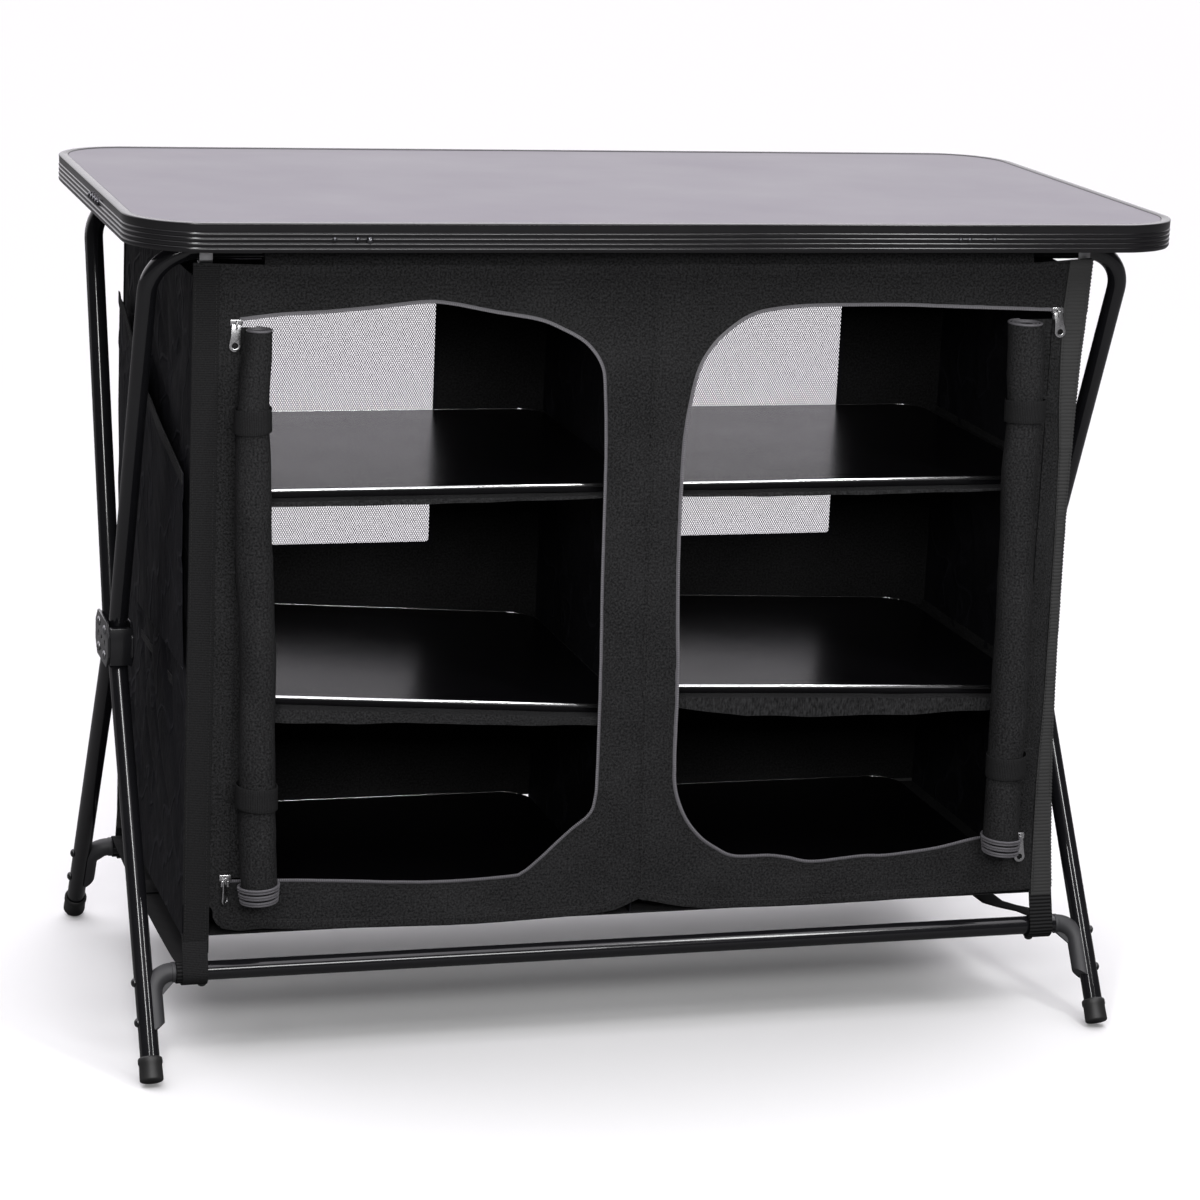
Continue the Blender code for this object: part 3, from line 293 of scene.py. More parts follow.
class Recipe(Graph):
    """A Geometry Nodes tree that ends in Realize Instances and Set Material."""

    def __init__(self, name, inputs):
        super().__init__(bpy.data.node_groups.new(name, "GeometryNodeTree"))
        self.slots = {}
        first = [("Geometry", "NodeSocketGeometry", None)]
        for label, kind, value in first + inputs + [("Material", "NodeSocketMaterial", None)]:
            slot = self.tree.interface.new_socket(label, in_out="INPUT", socket_type=kind)
            self.slots[label] = slot.identifier
            if value is not None:
                slot.default_value = value
        self.tree.interface.new_socket("Geometry", in_out="OUTPUT", socket_type="NodeSocketGeometry")
        self.entry = self.tree.nodes.new("NodeGroupInput")

    def given(self, label):
        return Socket(self, self.entry.outputs[label])

    def close(self, geometry):
        whole = self.node("GeometryNodeRealizeInstances", None, {"Geometry": geometry})
        painted = self.node("GeometryNodeSetMaterial", None,
                            {"Geometry": whole, "Material": self.given("Material")})
        leave = self.tree.nodes.new("NodeGroupOutput")
        self.feed(leave.inputs["Geometry"], painted)
        return self

    def use(self, item, material, **values):
        modifier = item.modifiers.new(self.tree.name, "NODES")
        modifier.node_group = self.tree
        modifier[self.slots["Material"]] = material
        for label, value in values.items():
            modifier[self.slots[label.capitalize()]] = value
        return item


def pipe_recipe():
    """A round tube along each line of the mesh."""
    recipe = Recipe("pipes", [("Radius", "NodeSocketFloat", 0.009), ("Sides", "NodeSocketInt", 32)])
    lines = recipe.node("GeometryNodeMeshToCurve", None, {"Mesh": recipe.given("Geometry")})
    ring = recipe.node("GeometryNodeCurvePrimitiveCircle", None,
                       {"Resolution": recipe.given("Sides"), "Radius": recipe.given("Radius")})
    pipes = recipe.node("GeometryNodeCurveToMesh", None,
                        {"Curve": lines, "Profile Curve": ring, "Fill Caps": True})
    return recipe.close(pipes)


def stitch_recipe():
    """Small rounded beads at a steady pitch along each line, such as stitches or zip teeth."""
    recipe = Recipe("stitches", [("Pitch", "NodeSocketFloat", 0.0036), ("Size", "NodeSocketVector", None),
                                 ("Facing", "NodeSocketVector", (0.0, -1.0, 0.0))])
    lines = recipe.node("GeometryNodeMeshToCurve", None, {"Mesh": recipe.given("Geometry")})
    steps = recipe.node("GeometryNodeResampleCurve", {"mode": "LENGTH"},
                        {"Curve": lines, "Length": recipe.given("Pitch")})
    tangent = recipe.node("GeometryNodeInputTangent")
    along = recipe.node("FunctionNodeAlignRotationToVector", {"axis": "X"}, {"Vector": tangent})
    turned = recipe.node("FunctionNodeAlignRotationToVector", {"axis": "Z", "pivot_axis": "X"},
                         {"Rotation": along, "Vector": recipe.given("Facing")})
    bead = recipe.node("GeometryNodeMeshUVSphere", None, {"Segments": 6, "Rings": 4, "Radius": 0.5})
    beads = recipe.node("GeometryNodeInstanceOnPoints", None,
                        {"Points": steps, "Instance": bead, "Rotation": turned,
                         "Scale": recipe.given("Size")})
    return recipe.close(beads)


def stud_recipe():
    """Domed heads, such as rivets or screws, on each point of the mesh."""
    recipe = Recipe("studs", [("Radius", "NodeSocketFloat", 0.005), ("Height", "NodeSocketFloat", 0.002),
                              ("Facing", "NodeSocketVector", (0.0, 0.0, 1.0))])
    turned = recipe.node("FunctionNodeAlignRotationToVector", {"axis": "Z"},
                         {"Vector": recipe.given("Facing")})
    size = recipe.node("ShaderNodeCombineXYZ", None, {
        "X": recipe.given("Radius"), "Y": recipe.given("Radius"), "Z": recipe.given("Height")})
    dome = recipe.node("GeometryNodeMeshUVSphere", None, {"Segments": 20, "Rings": 12, "Radius": 1.0})
    studs = recipe.node("GeometryNodeInstanceOnPoints", None,
                        {"Points": recipe.given("Geometry"), "Instance": dome, "Rotation": turned,
                         "Scale": size})
    return recipe.close(studs)


def surface(name, colour, roughness, metallic=0.0, tone=(), grain=None, shades=(1.0, 1.0), gloss=(),
            relief=(), **fixed):
    """A finish whose colour and roughness follow the noise tone, with the relief of a finer grain."""
    finish = Finish(name, colour, roughness, metallic, **fixed)
    cloud = finish.noise(finish.place(), *tone)
    fine = finish.noise(finish.place(), *grain) if grain else cloud
    first, second = ([value * factor for value in colour] for factor in shades)
    return finish.wear(Base_Color=finish.blend(cloud, first, second),
                       Roughness=finish.between(cloud, *gloss),
                       Normal=finish.bump(fine, *relief))


def laminate(colour):
    """Satin worktop laminate with a faint cloudiness."""
    return surface("worktop_laminate", colour, 0.30, tone=(9.0, 3.0), grain=(900.0, 1.0),
                   shades=(0.86, 1.10), gloss=(0.26, 0.36), relief=(0.00004, 0.5),
                   Specular_IOR_Level=0.42, Coat_Weight=0.10, Coat_Roughness=0.2)


def anodised(colour):
    """Black anodised extrusion with a smooth satin face that is a little worn in places."""
    return surface("trim_anodised", colour, 0.15, 0.15, tone=(28.0, 4.0), grain=(900.0, 1.0),
                   shades=(1.0, 1.6), gloss=(0.11, 0.20), relief=(0.00001, 0.3))


def enamel(colour, name="tube_enamel", shine=0.12):
    """Gloss black powder coat with a fine orange peel."""
    return surface(name, colour, shine, tone=(35.0, 4.0), grain=(420.0, 2.0), shades=(1.0, 1.5),
                   gloss=(shine - 0.02, shine + 0.05), relief=(0.00002, 0.4), Coat_Weight=0.25,
                   Coat_Roughness=0.04)


def moulded(colour, name, roughness):
    """Matte moulding with a fine spark-eroded grain."""
    return surface(name, colour, roughness, tone=(60.0, 4.0), grain=(1500.0, 1.0), shades=(1.0, 1.7),
                   gloss=(roughness - 0.08, roughness + 0.10), relief=(0.0001, 0.6))


def coil(colour, name="zip_coil"):
    """Nylon zip coil and its tape."""
    return surface(name, colour, 0.55, tone=(1300.0, 2.0), shades=(0.55, 1.0), gloss=(0.42, 0.68),
                   relief=(0.00015, 0.6))


def satin_board(colour):
    """Black shelf laminate with a faint grain and soft reflections."""
    return surface("board_laminate", colour, 0.27, tone=(11.0, 3.0), grain=(520.0, 2.0), shades=(1.0, 1.8),
                   gloss=(0.20, 0.27), relief=(0.00001, 0.15), Specular_IOR_Level=0.28)


def woven(colour, name="woven_cloth", thread=0.0007, roughness=0.80):
    """Plain weave: two sets of threads that pass over each other, mottled by slubs."""
    finish = Finish(name, colour, roughness, Specular_IOR_Level=0.10)
    flat = finish.flat_cloth()
    turns = math.pi / (10 * thread)
    warp = finish.wave(flat, turns, "X", 0.6)
    weft = finish.wave(flat, turns, "Y", 0.6)
    weave = warp * weft + (1.0 - warp) * (1.0 - weft)
    slub = finish.noise(flat, 480.0, 3.0, 0.7)
    cloud = finish.noise(flat, 14.0, 3.0)
    tone = weave * 0.20 + finish.between(slub, 0.0, 1.0, 0.36, 0.64) * 0.55 + cloud * 0.25
    dark = [value * 0.30 for value in colour]
    pale = [value * 2.3 for value in colour]
    sway = finish.bump(finish.noise(flat, 7.0, 2.0, 0.5), 0.012, 0.7)
    soft = finish.bump(finish.noise(flat, 30.0, 3.0, 0.55), 0.0022, 0.6, sway)
    threads = finish.bump(weave * 0.35 + slub * 0.65, 0.0004, 0.8, soft)
    return finish.wear(Base_Color=finish.blend(finish.between(tone, 0.0, 1.0, 0.22, 0.78), dark, pale),
                       Roughness=finish.between(slub, roughness - 0.12, roughness + 0.10, 0.3, 0.7),
                       Normal=threads)


def thin_nylon(colour):
    """Thin coated nylon, smoother than the walls, with fine crumpling and a painted highlight along its
    crease lines.
    """
    finish = Finish("thin_nylon", colour, 0.75, Specular_IOR_Level=0.06)
    flat = finish.flat_cloth()
    crumple = finish.noise(flat, 26.0, 4.0, 0.55)
    fine = finish.noise(flat, 700.0, 2.0)
    ridges = finish.maths("ABSOLUTE", finish.noise(flat, 11.0, 2.0, 0.5) - 0.5)
    lines = finish.between(ridges, 1.0, 0.0, 0.0, 0.022)
    soft = finish.bump(crumple + lines * 0.35, 0.0034, 0.8)
    # The crease lines are painted lighter here: a painted highlight along the folds, not a colour of the
    # nylon.
    tone = finish.between(fine, 0.0, 0.45, 0.3, 0.7) + lines * 0.55
    pale = [value * 2.6 for value in colour]
    return finish.wear(Base_Color=finish.blend(tone, colour, pale),
                       Roughness=finish.between(crumple, 0.66, 0.84, 0.3, 0.7),
                       Normal=finish.bump(fine, 0.00012, 0.6, soft))


def ribbed(colour, name, pitch, fuzz):
    """Woven tape with cross ribs, and a nap where fuzz is high."""
    finish = Finish(name, colour, 0.85, Specular_IOR_Level=0.1)
    flat = finish.flat_cloth()
    ribs = finish.wave(flat, math.pi / (10 * pitch), "Y", 0.4)
    nap = finish.noise(flat, 650.0, 3.0, 0.7)
    height = ribs * (1.0 - fuzz) + nap * fuzz
    dark = [value * 0.35 for value in colour]
    pale = [value * (1.5 + fuzz) for value in colour]
    return finish.wear(Base_Color=finish.blend(finish.between(height, 0.0, 1.0, 0.25, 0.75), dark, pale),
                       Roughness=finish.between(nap, 0.75, 1.0),
                       Normal=finish.bump(height, 0.0003, 0.6))


def bright_metal(colour, name="brushed_strip", roughness=0.28):
    """Brushed aluminium or plated zinc with fine scratches along it."""
    finish = Finish(name, colour, roughness, 1.0)
    long_scratch = finish.noise(finish.place(), 700.0, 3.0)
    stain = finish.noise(finish.place(), 50.0, 3.0)
    dull = [value * 0.72 for value in colour]
    return finish.wear(Base_Color=finish.blend(stain, colour, dull),
                       Roughness=finish.between(long_scratch, roughness - 0.08, roughness + 0.10),
                       Normal=finish.bump(long_scratch, 0.00004, 0.5))


def link(item):
    bpy.context.scene.collection.objects.link(item)
    return item


def mesh_item(name, points, faces=(), edges=(), flat=None):
    """A new object; flat gives each point its place on the uncut cloth, in metres."""
    mesh = bpy.data.meshes.new(name)
    mesh.from_pydata([tuple(point) for point in points], list(edges), list(faces))
    if flat:
        layer = mesh.uv_layers.new(name=CLOTH_MAP)
        for loop in mesh.loops:
            layer.data[loop.index].uv = flat[loop.vertex_index]
    return link(bpy.data.objects.new(name, mesh))


def lofted(name, rows, closed=False):
    """A skin over rows of points, with its cloth map measured along it."""
    count = len(rows[0])
    points = [Vector(point) for row in rows for point in row]
    across = [0.0]
    for a, b in zip(rows[0], rows[0][1:]):
        across.append(across[-1] + (Vector(b) - Vector(a)).length)
    along = [0.0]
    for a, b in zip(rows, rows[1:]):
        along.append(along[-1] + (Vector(b[0]) - Vector(a[0])).length)
    flat = [(u, v) for v in along for u in across]
    last = len(rows) if closed else len(rows) - 1
    faces = []
    for row in range(last):
        after = (row + 1) % len(rows)
        for column in range(count - 1):
            faces.append((row * count + column, row * count + column + 1,
                          after * count + column + 1, after * count + column))
    return mesh_item(name, points, faces, flat=flat)


def thicken(item, wall, even=False):
    thick = item.modifiers.new("thickness", "SOLIDIFY")
    thick.thickness = wall
    thick.offset = 0.0
    thick.use_even_offset = even
    return item


def soften(item, width, segments=2):
    bevel = item.modifiers.new("soft_edges", "BEVEL")
    bevel.width = width
    bevel.segments = segments
    bevel.limit_method = "ANGLE"
    bevel.angle_limit = math.radians(35)
    return item


@contextmanager
def edited(mesh):
    """The mesh as a bmesh that is written back at the end."""
    bm = bmesh.new()
    bm.from_mesh(mesh)
    yield bm
    bm.to_mesh(mesh)
    bm.free()


def joined(mesh, distance):
    """Welds a mesh's seams and turns its faces outwards."""
    with edited(mesh) as bm:
        bmesh.ops.remove_doubles(bm, verts=bm.verts, dist=distance)
        bmesh.ops.recalc_face_normals(bm, faces=bm.faces)
    return mesh


def capped(item):
    """Closes the open ends of a lofted skin."""
    with edited(item.data) as bm:
        bmesh.ops.holes_fill(bm, edges=[edge for edge in bm.edges if edge.is_boundary])
    return item


def baked(item):
    """The mesh that an object's modifiers or curve make, in world space; the object is removed."""
    bpy.context.view_layer.update()
    graph = bpy.context.evaluated_depsgraph_get()
    mesh = bpy.data.meshes.new_from_object(item.evaluated_get(graph), preserve_all_data_layers=True,
                                           depsgraph=graph)
    mesh.transform(item.matrix_world)
    bpy.data.objects.remove(item, do_unlink=True)
    return mesh


def settle(item, body, slot, material=None, nodes=(), turn_out=False, sharp=40):
    """Applies what is left to apply and hands the plain mesh to its body."""
    name = item.name
    mesh = baked(item)
    if turn_out:
        joined(mesh, 0.00001)
    mesh.shade_smooth()
    mesh.set_sharp_from_angle(angle=math.radians(sharp))
    if material:
        mesh.materials.clear()
        mesh.materials.append(material)
    piece = link(bpy.data.objects.new(name, mesh))
    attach(piece, body)
    if nodes:
        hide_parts(*nodes)
    return piece


def tube(name, lines, body, slot, material, radius, sides, nodes=()):
    """Round tubes along bare lines, handed to their body."""
    item = PIPES.use(line_item(name, *lines), material, radius=radius, sides=sides)
    return settle(item, body, slot, None, nodes, turn_out=True)


def studs(name, spots, body, slot, material, radius, height, facing):
    """Domed heads at each spot, handed to their body."""
    item = STUDS.use(mesh_item(name, spots), material, radius=radius, height=height, facing=Vector(facing))
    return settle(item, body, slot, turn_out=True)


def beads(name, lines, slot, material, pitch, size):
    """Stitches or teeth along lines on the cabinet's front, handed to its body."""
    item = STITCHES.use(line_item(name, *lines), material, pitch=pitch, size=Vector(size),
                        facing=Vector((0, -1, 0)))
    return settle(item, "bag_front", slot, turn_out=True)


def block_item(name, *places):
    """An object of unit cubes, each placed and scaled by its matrix."""
    mesh = bpy.data.meshes.new(name)
    with edited(mesh) as bm:
        for place in places:
            bmesh.ops.create_cube(bm, size=1.0, matrix=place)
    return link(bpy.data.objects.new(name, mesh))


def outline_item(name, rings, half_thickness, bevel, resolution):
    """A flat plate in its own XY plane; the first ring is its edge and the others are holes."""
    curve = bpy.data.curves.new(name, "CURVE")
    curve.dimensions = "2D"
    curve.fill_mode = "BOTH"
    curve.extrude = half_thickness
    curve.bevel_depth = bevel
    curve.bevel_resolution = resolution
    for ring in rings:
        spline = curve.splines.new("POLY")
        spline.points.add(len(ring) - 1)
        for point, (u, v) in zip(spline.points, ring):
            point.co = (u, v, 0, 1)
        spline.use_cyclic_u = True
    return link(bpy.data.objects.new(name, curve))


def circle(radius, count, centre=(0.0, 0.0)):
    angles = [math.tau * n / count for n in range(count)]
    return [(centre[0] + radius * math.cos(a), centre[1] + radius * math.sin(a)) for a in angles]


def gather_cloth(piece):
    """Gives a cloth piece a mesh of its own."""
    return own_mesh(piece)


def rounded_path(corners, radius, steps=10):
    """A path whose inner corners are arcs."""
    corners = [Vector(corner) for corner in corners]
    path = [corners[0]]
    for before, corner, after in zip(corners, corners[1:], corners[2:]):
        come, go = (before - corner).normalized(), (after - corner).normalized()
        half = come.angle(go) / 2
        reach = radius / math.tan(half)
        centre = corner + (come + go).normalized() * radius / math.sin(half)
        first, last = corner + come * reach - centre, corner + go * reach - centre
        sweep = first.angle(last)
        for step in range(steps + 1):
            turn = sweep * step / steps
            path.append(centre + (first * math.sin(sweep - turn) + last * math.sin(turn)) / math.sin(sweep))
    path.append(corners[-1])
    return path


def rounded_rectangle(half_width, half_depth, radius, steps=24):
    points = []
    for quarter in range(4):
        sign_x = 1 if quarter in (0, 3) else -1
        sign_y = 1 if quarter in (0, 1) else -1
        for step in range(steps + 1):
            angle = math.pi / 2 * (quarter + step / steps)
            points.append(((half_width - radius) * sign_x + radius * math.cos(angle),
                           (half_depth - radius) * sign_y + radius * math.sin(angle)))
    return points


def smooth_line(points, steps=8):
    """A smooth curve through a few points, in two or three dimensions."""
    points = [Vector(point) for point in points]
    line = []
    for number in range(len(points) - 1):
        before = points[max(number - 1, 0)]
        start, end = points[number], points[number + 1]
        after = points[min(number + 2, len(points) - 1)]
        start_handle = start + (end - before) / 6
        end_handle = end - (after - start) / 6
        part = interpolate_bezier(start, start_handle, end_handle, end, steps + 1)
        line += [point.copy() for point in part[:-1]]
    return line + [points[-1]]


def offset_line(line, distance):
    """The same line in the XZ plane, moved sideways to its left."""
    moved = []
    for number, point in enumerate(line):
        before = line[max(number - 1, 0)]
        after = line[min(number + 1, len(line) - 1)]
        along = (after - before).normalized()
        moved.append(point + Vector((-along.y, along.x)) * distance)
    return moved


def line_item(name, *lines):
    """An object of bare lines for a recipe to follow."""
    points, edges = [], []
    for line in lines:
        start = len(points)
        points += [tuple(point) for point in line]
        edges += [(start + number, start + number + 1) for number in range(len(line) - 1)]
    return mesh_item(name, points, edges=edges)


def ripple(x, z, size, seed):
    return noise.noise(Vector((x / size, z / size, seed)))


def crease(x, z, size, angle, stretch, seed):
    """Narrow ridges that run along angle, as creased cloth shows."""
    along = x * math.cos(angle) + z * math.sin(angle)
    across = z * math.cos(angle) - x * math.sin(angle)
    fold = abs(noise.noise(Vector((along / (size * stretch), across / size, seed))))
    return max(0.0, 1.0 - fold * 5.0) ** 2


def inside(point, loop):
    """Whether a point lies within a closed loop, by counting crossings."""
    crossed = False
    x, z = point
    for a, b in zip(loop, loop[1:] + loop[:1]):
        if (a[1] > z) != (b[1] > z) and x < (b[0] - a[0]) * (z - a[1]) / (b[1] - a[1]) + a[0]:
            crossed = not crossed
    return crossed


def evened(loop, spacing):
    """The loop's points at a steady spacing."""
    points = []
    for a, b in zip(loop, loop[1:] + loop[:1]):
        a, b = Vector(a), Vector(b)
        steps = max(1, round((b - a).length / spacing))
        points += [a.lerp(b, step / steps) for step in range(steps)]
    return points


def cut_cloth(outline, holes, spacing, seams=()):
    """Flat cloth within an outline and round its holes, as points and triangles."""
    loops = [evened(loop, spacing) for loop in [outline, *holes]]
    points, edges = [], []
    for loop in loops:
        start = len(points)
        points += loop
        edges += [(start + number, start + (number + 1) % len(loop)) for number in range(len(loop))]
    for seam in seams:
        start = len(points)
        points += [Vector(point) for point in seam]
        edges += [(start + number, start + number + 1) for number in range(len(seam) - 1)]
    near = KDTree(len(points))
    for number, point in enumerate(points):
        near.insert((*point, 0.0), number)
    near.balance()
    low_x, high_x = min(p[0] for p in outline), max(p[0] for p in outline)
    low_z, high_z = min(p[1] for p in outline), max(p[1] for p in outline)
    row_height = spacing * math.sqrt(3) / 2
    for row in range(int((high_z - low_z) / row_height)):
        z = low_z + row * row_height
        shift = spacing / 2 * (row % 2)
        for column in range(int((high_x - low_x) / spacing)):
            x = low_x + column * spacing + shift
            if near.find((x, z, 0.0))[2] < spacing * 0.6:
                continue
            if inside((x, z), loops[0]) and not any(inside((x, z), loop) for loop in loops[1:]):
                points.append(Vector((x, z)))
    verts, _, faces, *_ = delaunay_2d_cdt(points, edges, [], 0, 1e-6)
    kept = []
    for face in faces:
        middle = sum((verts[index] for index in face), Vector((0, 0))) / len(face)
        if inside(middle, loops[0]) and not any(inside(middle, loop) for loop in loops[1:]):
            kept.append(face)
    return verts, kept


def front_y(x, z, slack):
    """How deep the slack front wall lies at a spot on it."""
    hang = ripple(x, z, 0.13, 3.1) * 0.8 + ripple(x, z, 0.045, 7.7) * 0.3
    folds = crease(x, z, 0.05, 0.9, 3.0, 1.3) * 0.30 + crease(x, z, 0.06, -0.7, 3.0, 5.9) * 0.30
    edge = min(1.0, (BAG_TOP - z) / 0.06)
    return FRONT_FACE - slack * edge * (0.35 + hang + folds)


# The doors' zipped edges on the front wall, from the top of the sewn side round to its bottom
LEFT_DOOR = ((-0.392, 0.7033), (-0.356, 0.7073), (-0.312, 0.7098), (-0.266, 0.7138), (-0.222, 0.7184),
             (-0.196, 0.7164), (-0.158, 0.7092), (-0.117, 0.7022), (-0.0945, 0.6938), (-0.0700, 0.6800),
             (-0.0545, 0.6600), (-0.0500, 0.6350), (-0.0467, 0.5730), (-0.0448, 0.4744), (-0.0420, 0.3400),
             (-0.0413, 0.2670), (-0.0430, 0.2375), (-0.0488, 0.2250), (-0.0640, 0.2128), (-0.0980, 0.1810),
             (-0.1105, 0.1718), (-0.1228, 0.1688), (-0.1828, 0.1670), (-0.2343, 0.1690), (-0.3191, 0.1748),
             (-0.392, 0.1775))
RIGHT_DOOR = ((0.392, 0.7085), (0.2965, 0.7117), (0.2359, 0.7138), (0.1585, 0.7136), (0.1164, 0.7108),
              (0.0880, 0.7040), (0.0638, 0.6871), (0.0500, 0.6710), (0.0405, 0.6520), (0.0352, 0.6257),
              (0.0305, 0.5900), (0.0298, 0.5400), (0.0306, 0.4726), (0.0353, 0.3526), (0.0363, 0.2745),
              (0.0382, 0.2500), (0.0438, 0.2315), (0.0522, 0.2152), (0.0658, 0.1990), (0.0820, 0.1873),
              (0.1012, 0.1784), (0.1359, 0.1772), (0.1555, 0.1742), (0.1815, 0.1689), (0.2306, 0.1721),
              (0.2582, 0.1716), (0.3059, 0.1761), (0.3511, 0.1845), (0.392, 0.1880))
DOORS = {"left": LEFT_DOOR, "right": RIGHT_DOOR}
# The front wall's sagging lower edge, from left to right
LOWER_EDGE = ((-0.435, 0.1560), (-0.4150, 0.1556), (-0.4074, 0.1500), (-0.4062, 0.1414), (-0.3995, 0.1332),
              (-0.3806, 0.1292), (-0.3598, 0.1301), (-0.3235, 0.1275), (-0.2274, 0.1250), (-0.1298, 0.1242),
              (-0.031, 0.1280), (0.0035, 0.1392), (0.010, 0.1395), (0.070, 0.1280), (0.172, 0.1253),
              (0.276, 0.1261), (0.350, 0.1280), (0.412, 0.1295), (0.435, 0.1300))
# The front wall's upper edge, from left to right
TOP_EDGE = ((-0.435, 0.7545), (-0.360, 0.7525), (0.360, 0.7535), (0.435, 0.7585))
# The outer and the inner edge of the right corner's webbing: height and place across
RIGHT_EDGE = ((0.0834, 0.4391), (0.1361, 0.4334), (0.1779, 0.4299), (0.2401, 0.4257), (0.3017, 0.4225),
              (0.3829, 0.4206), (0.5188, 0.4193), (0.6152, 0.4210), (0.6620, 0.4224), (0.7085, 0.4254),
              (0.7600, 0.4279))
RIGHT_BAND = ((0.0847, 0.4158), (0.1372, 0.4124), (0.2407, 0.4101), (0.3366, 0.4117), (0.4734, 0.4104),
              (0.5723, 0.4078), (0.6154, 0.4043), (0.6622, 0.4023), (0.7086, 0.4015), (0.7600, 0.4053))
# Where the slack right corner starts across, and how far back it reaches
SLACK_FROM = 0.398
SLACK_DEPTH = 0.16
# From one of the right webbing's cross ribs to the next, and the rows of its mesh
RIB_PITCH = 0.0035
RIB_ROWS = 740
# How far each shelf cloth's hem hangs, at even steps from left to right
DECK_HEMS = {"upper_left": (0.0040, 0.0045, 0.0045, 0.0035, 0.0010),
             "upper_right": (0.0020, 0.0035, 0.0035, 0.0025, 0.0010),
             "middle_left": (0.0130, 0.0130, 0.0100, 0.0100, 0.0060),
             "middle_right": (0.0060, 0.0180, 0.0180, 0.0140, 0.0080)}
# The seam between the two doors: place across and height
CENTRE_SEAM = ((-0.004, 0.7520), (-0.003, 0.560), (0.001, 0.360), (0.006, 0.1400))
# The rolled doors from the bottom up: height, place across and radius
ROLLS = {
    "left": ((0.1590, -0.3667, 0.0182), (0.2533, -0.3715, 0.0186), (0.4127, -0.3740, 0.0176),
             (0.5060, -0.3800, 0.0184), (0.6200, -0.3818, 0.0158), (0.6965, -0.3774, 0.0132)),
    "right": ((0.1710, 0.3700, 0.0184), (0.2895, 0.3690, 0.0186), (0.4298, 0.3665, 0.0184),
              (0.5245, 0.3631, 0.0178), (0.6286, 0.3612, 0.0186), (0.7000, 0.3572, 0.0182)),
}
ROLL_LINES = {name: smooth_line(rows, 12) for name, rows in ROLLS.items()}
ROLL_BACK = FRONT_FACE - 0.0012
TIE_MIDDLES = (0.2645, 0.6155)
PULL_LEANS = {"upper_left": -3, "lower_left": 0, "upper_right": 10, "lower_right": 4}
PULL_TURNS = {"lower_left": 50}
TRIM_SCREWS = (-0.3225, -0.302, -0.291, 0.265, 0.274, 0.2985)
SPLICE_SCREWS = (-0.056, -0.042, -0.028, -0.014)
MIDDLE_SCREW = 2
PANEL_ROUND = 0.0004
# The trim: from its foot to its first rib, from one rib to the next, and its rolled rim's radius
RIB_MARGIN = 0.0006
RIB_STEP = 0.0044
TRIM_RIM = 0.0011
# A back window from the middle outwards, and from its foot to its head
WINDOW_INNER, WINDOW_OUTER = 0.117, 0.320
WINDOW_LOW, WINDOW_HIGH = 0.404, 0.678
NET_SLANT = math.radians(60)
# The right band's and the left band's free ends below the wall
BAND_FOOT, FUZZY_FOOT = 0.104, 0.109
# A rolled door: where it is sewn on, its innermost turn, and what its own zip edge takes at its foot
DOOR_SEWN = 0.3965
ROLL_CORE = 0.005
ROLL_FOOT = 0.0205
TIE_HALF = 0.0108
# A zip's section: how far each fold of its tape lies from the opening's edge, and how deep
ZIP_SECTION = ((-0.0008, -0.0010), (0.0008, -0.0010), (0.0026, 0.0002), (0.0042, 0.0012))
BOARD_THICK = 0.008
BOARD_CORNER = 0.030
# The hanging flaps: their inner face and where they leave the wall for the rail
FLAP_FACE = -0.1887
FLAP_TOP = 0.755


def door_line(name):
    return [Vector(point) for point in smooth_line(DOORS[name], 7)]


def on_front(points, slack, proud):
    """Flat points laid on the front wall, proud of its face."""
    return [Vector((point[0], front_y(point[0], point[1], slack) - proud, point[1])) for point in points]


def read_off(table, place, column=1):
    """A table's value at a place, between its rows."""
    for first, last in zip(table, table[1:]):
        if place <= last[0]:
            share = max(0.0, (place - first[0]) / (last[0] - first[0]))
            return first[column] + (last[column] - first[column]) * share
    return table[-1][column]


def drawn_in(point):
    """A point of the cabinet, moved inwards where its right front corner hangs slack."""
    reach = max(0.0, BAG_SIDE - read_off(RIGHT_EDGE, point.z))
    across = max(0.0, min(1.0, (point.x - SLACK_FROM) / (BAG_SIDE - SLACK_FROM)))
    back = max(0.0, min(1.0, 1 - (point.y - FRONT_FACE) / SLACK_DEPTH))
    return point - Vector((reach * across * back * back * (3 - 2 * back), 0, 0))


class CupboardOperator(Operator):
    """Shared base of this object's operators."""
    bl_options = {"REGISTER"}

    def execute(self, context):
        scene = context.scene
        self.build(scene.cupboard_frame, scene.cupboard_worktop, scene.cupboard_cloth,
                   scene.cupboard_colours)
        return {"FINISHED"}


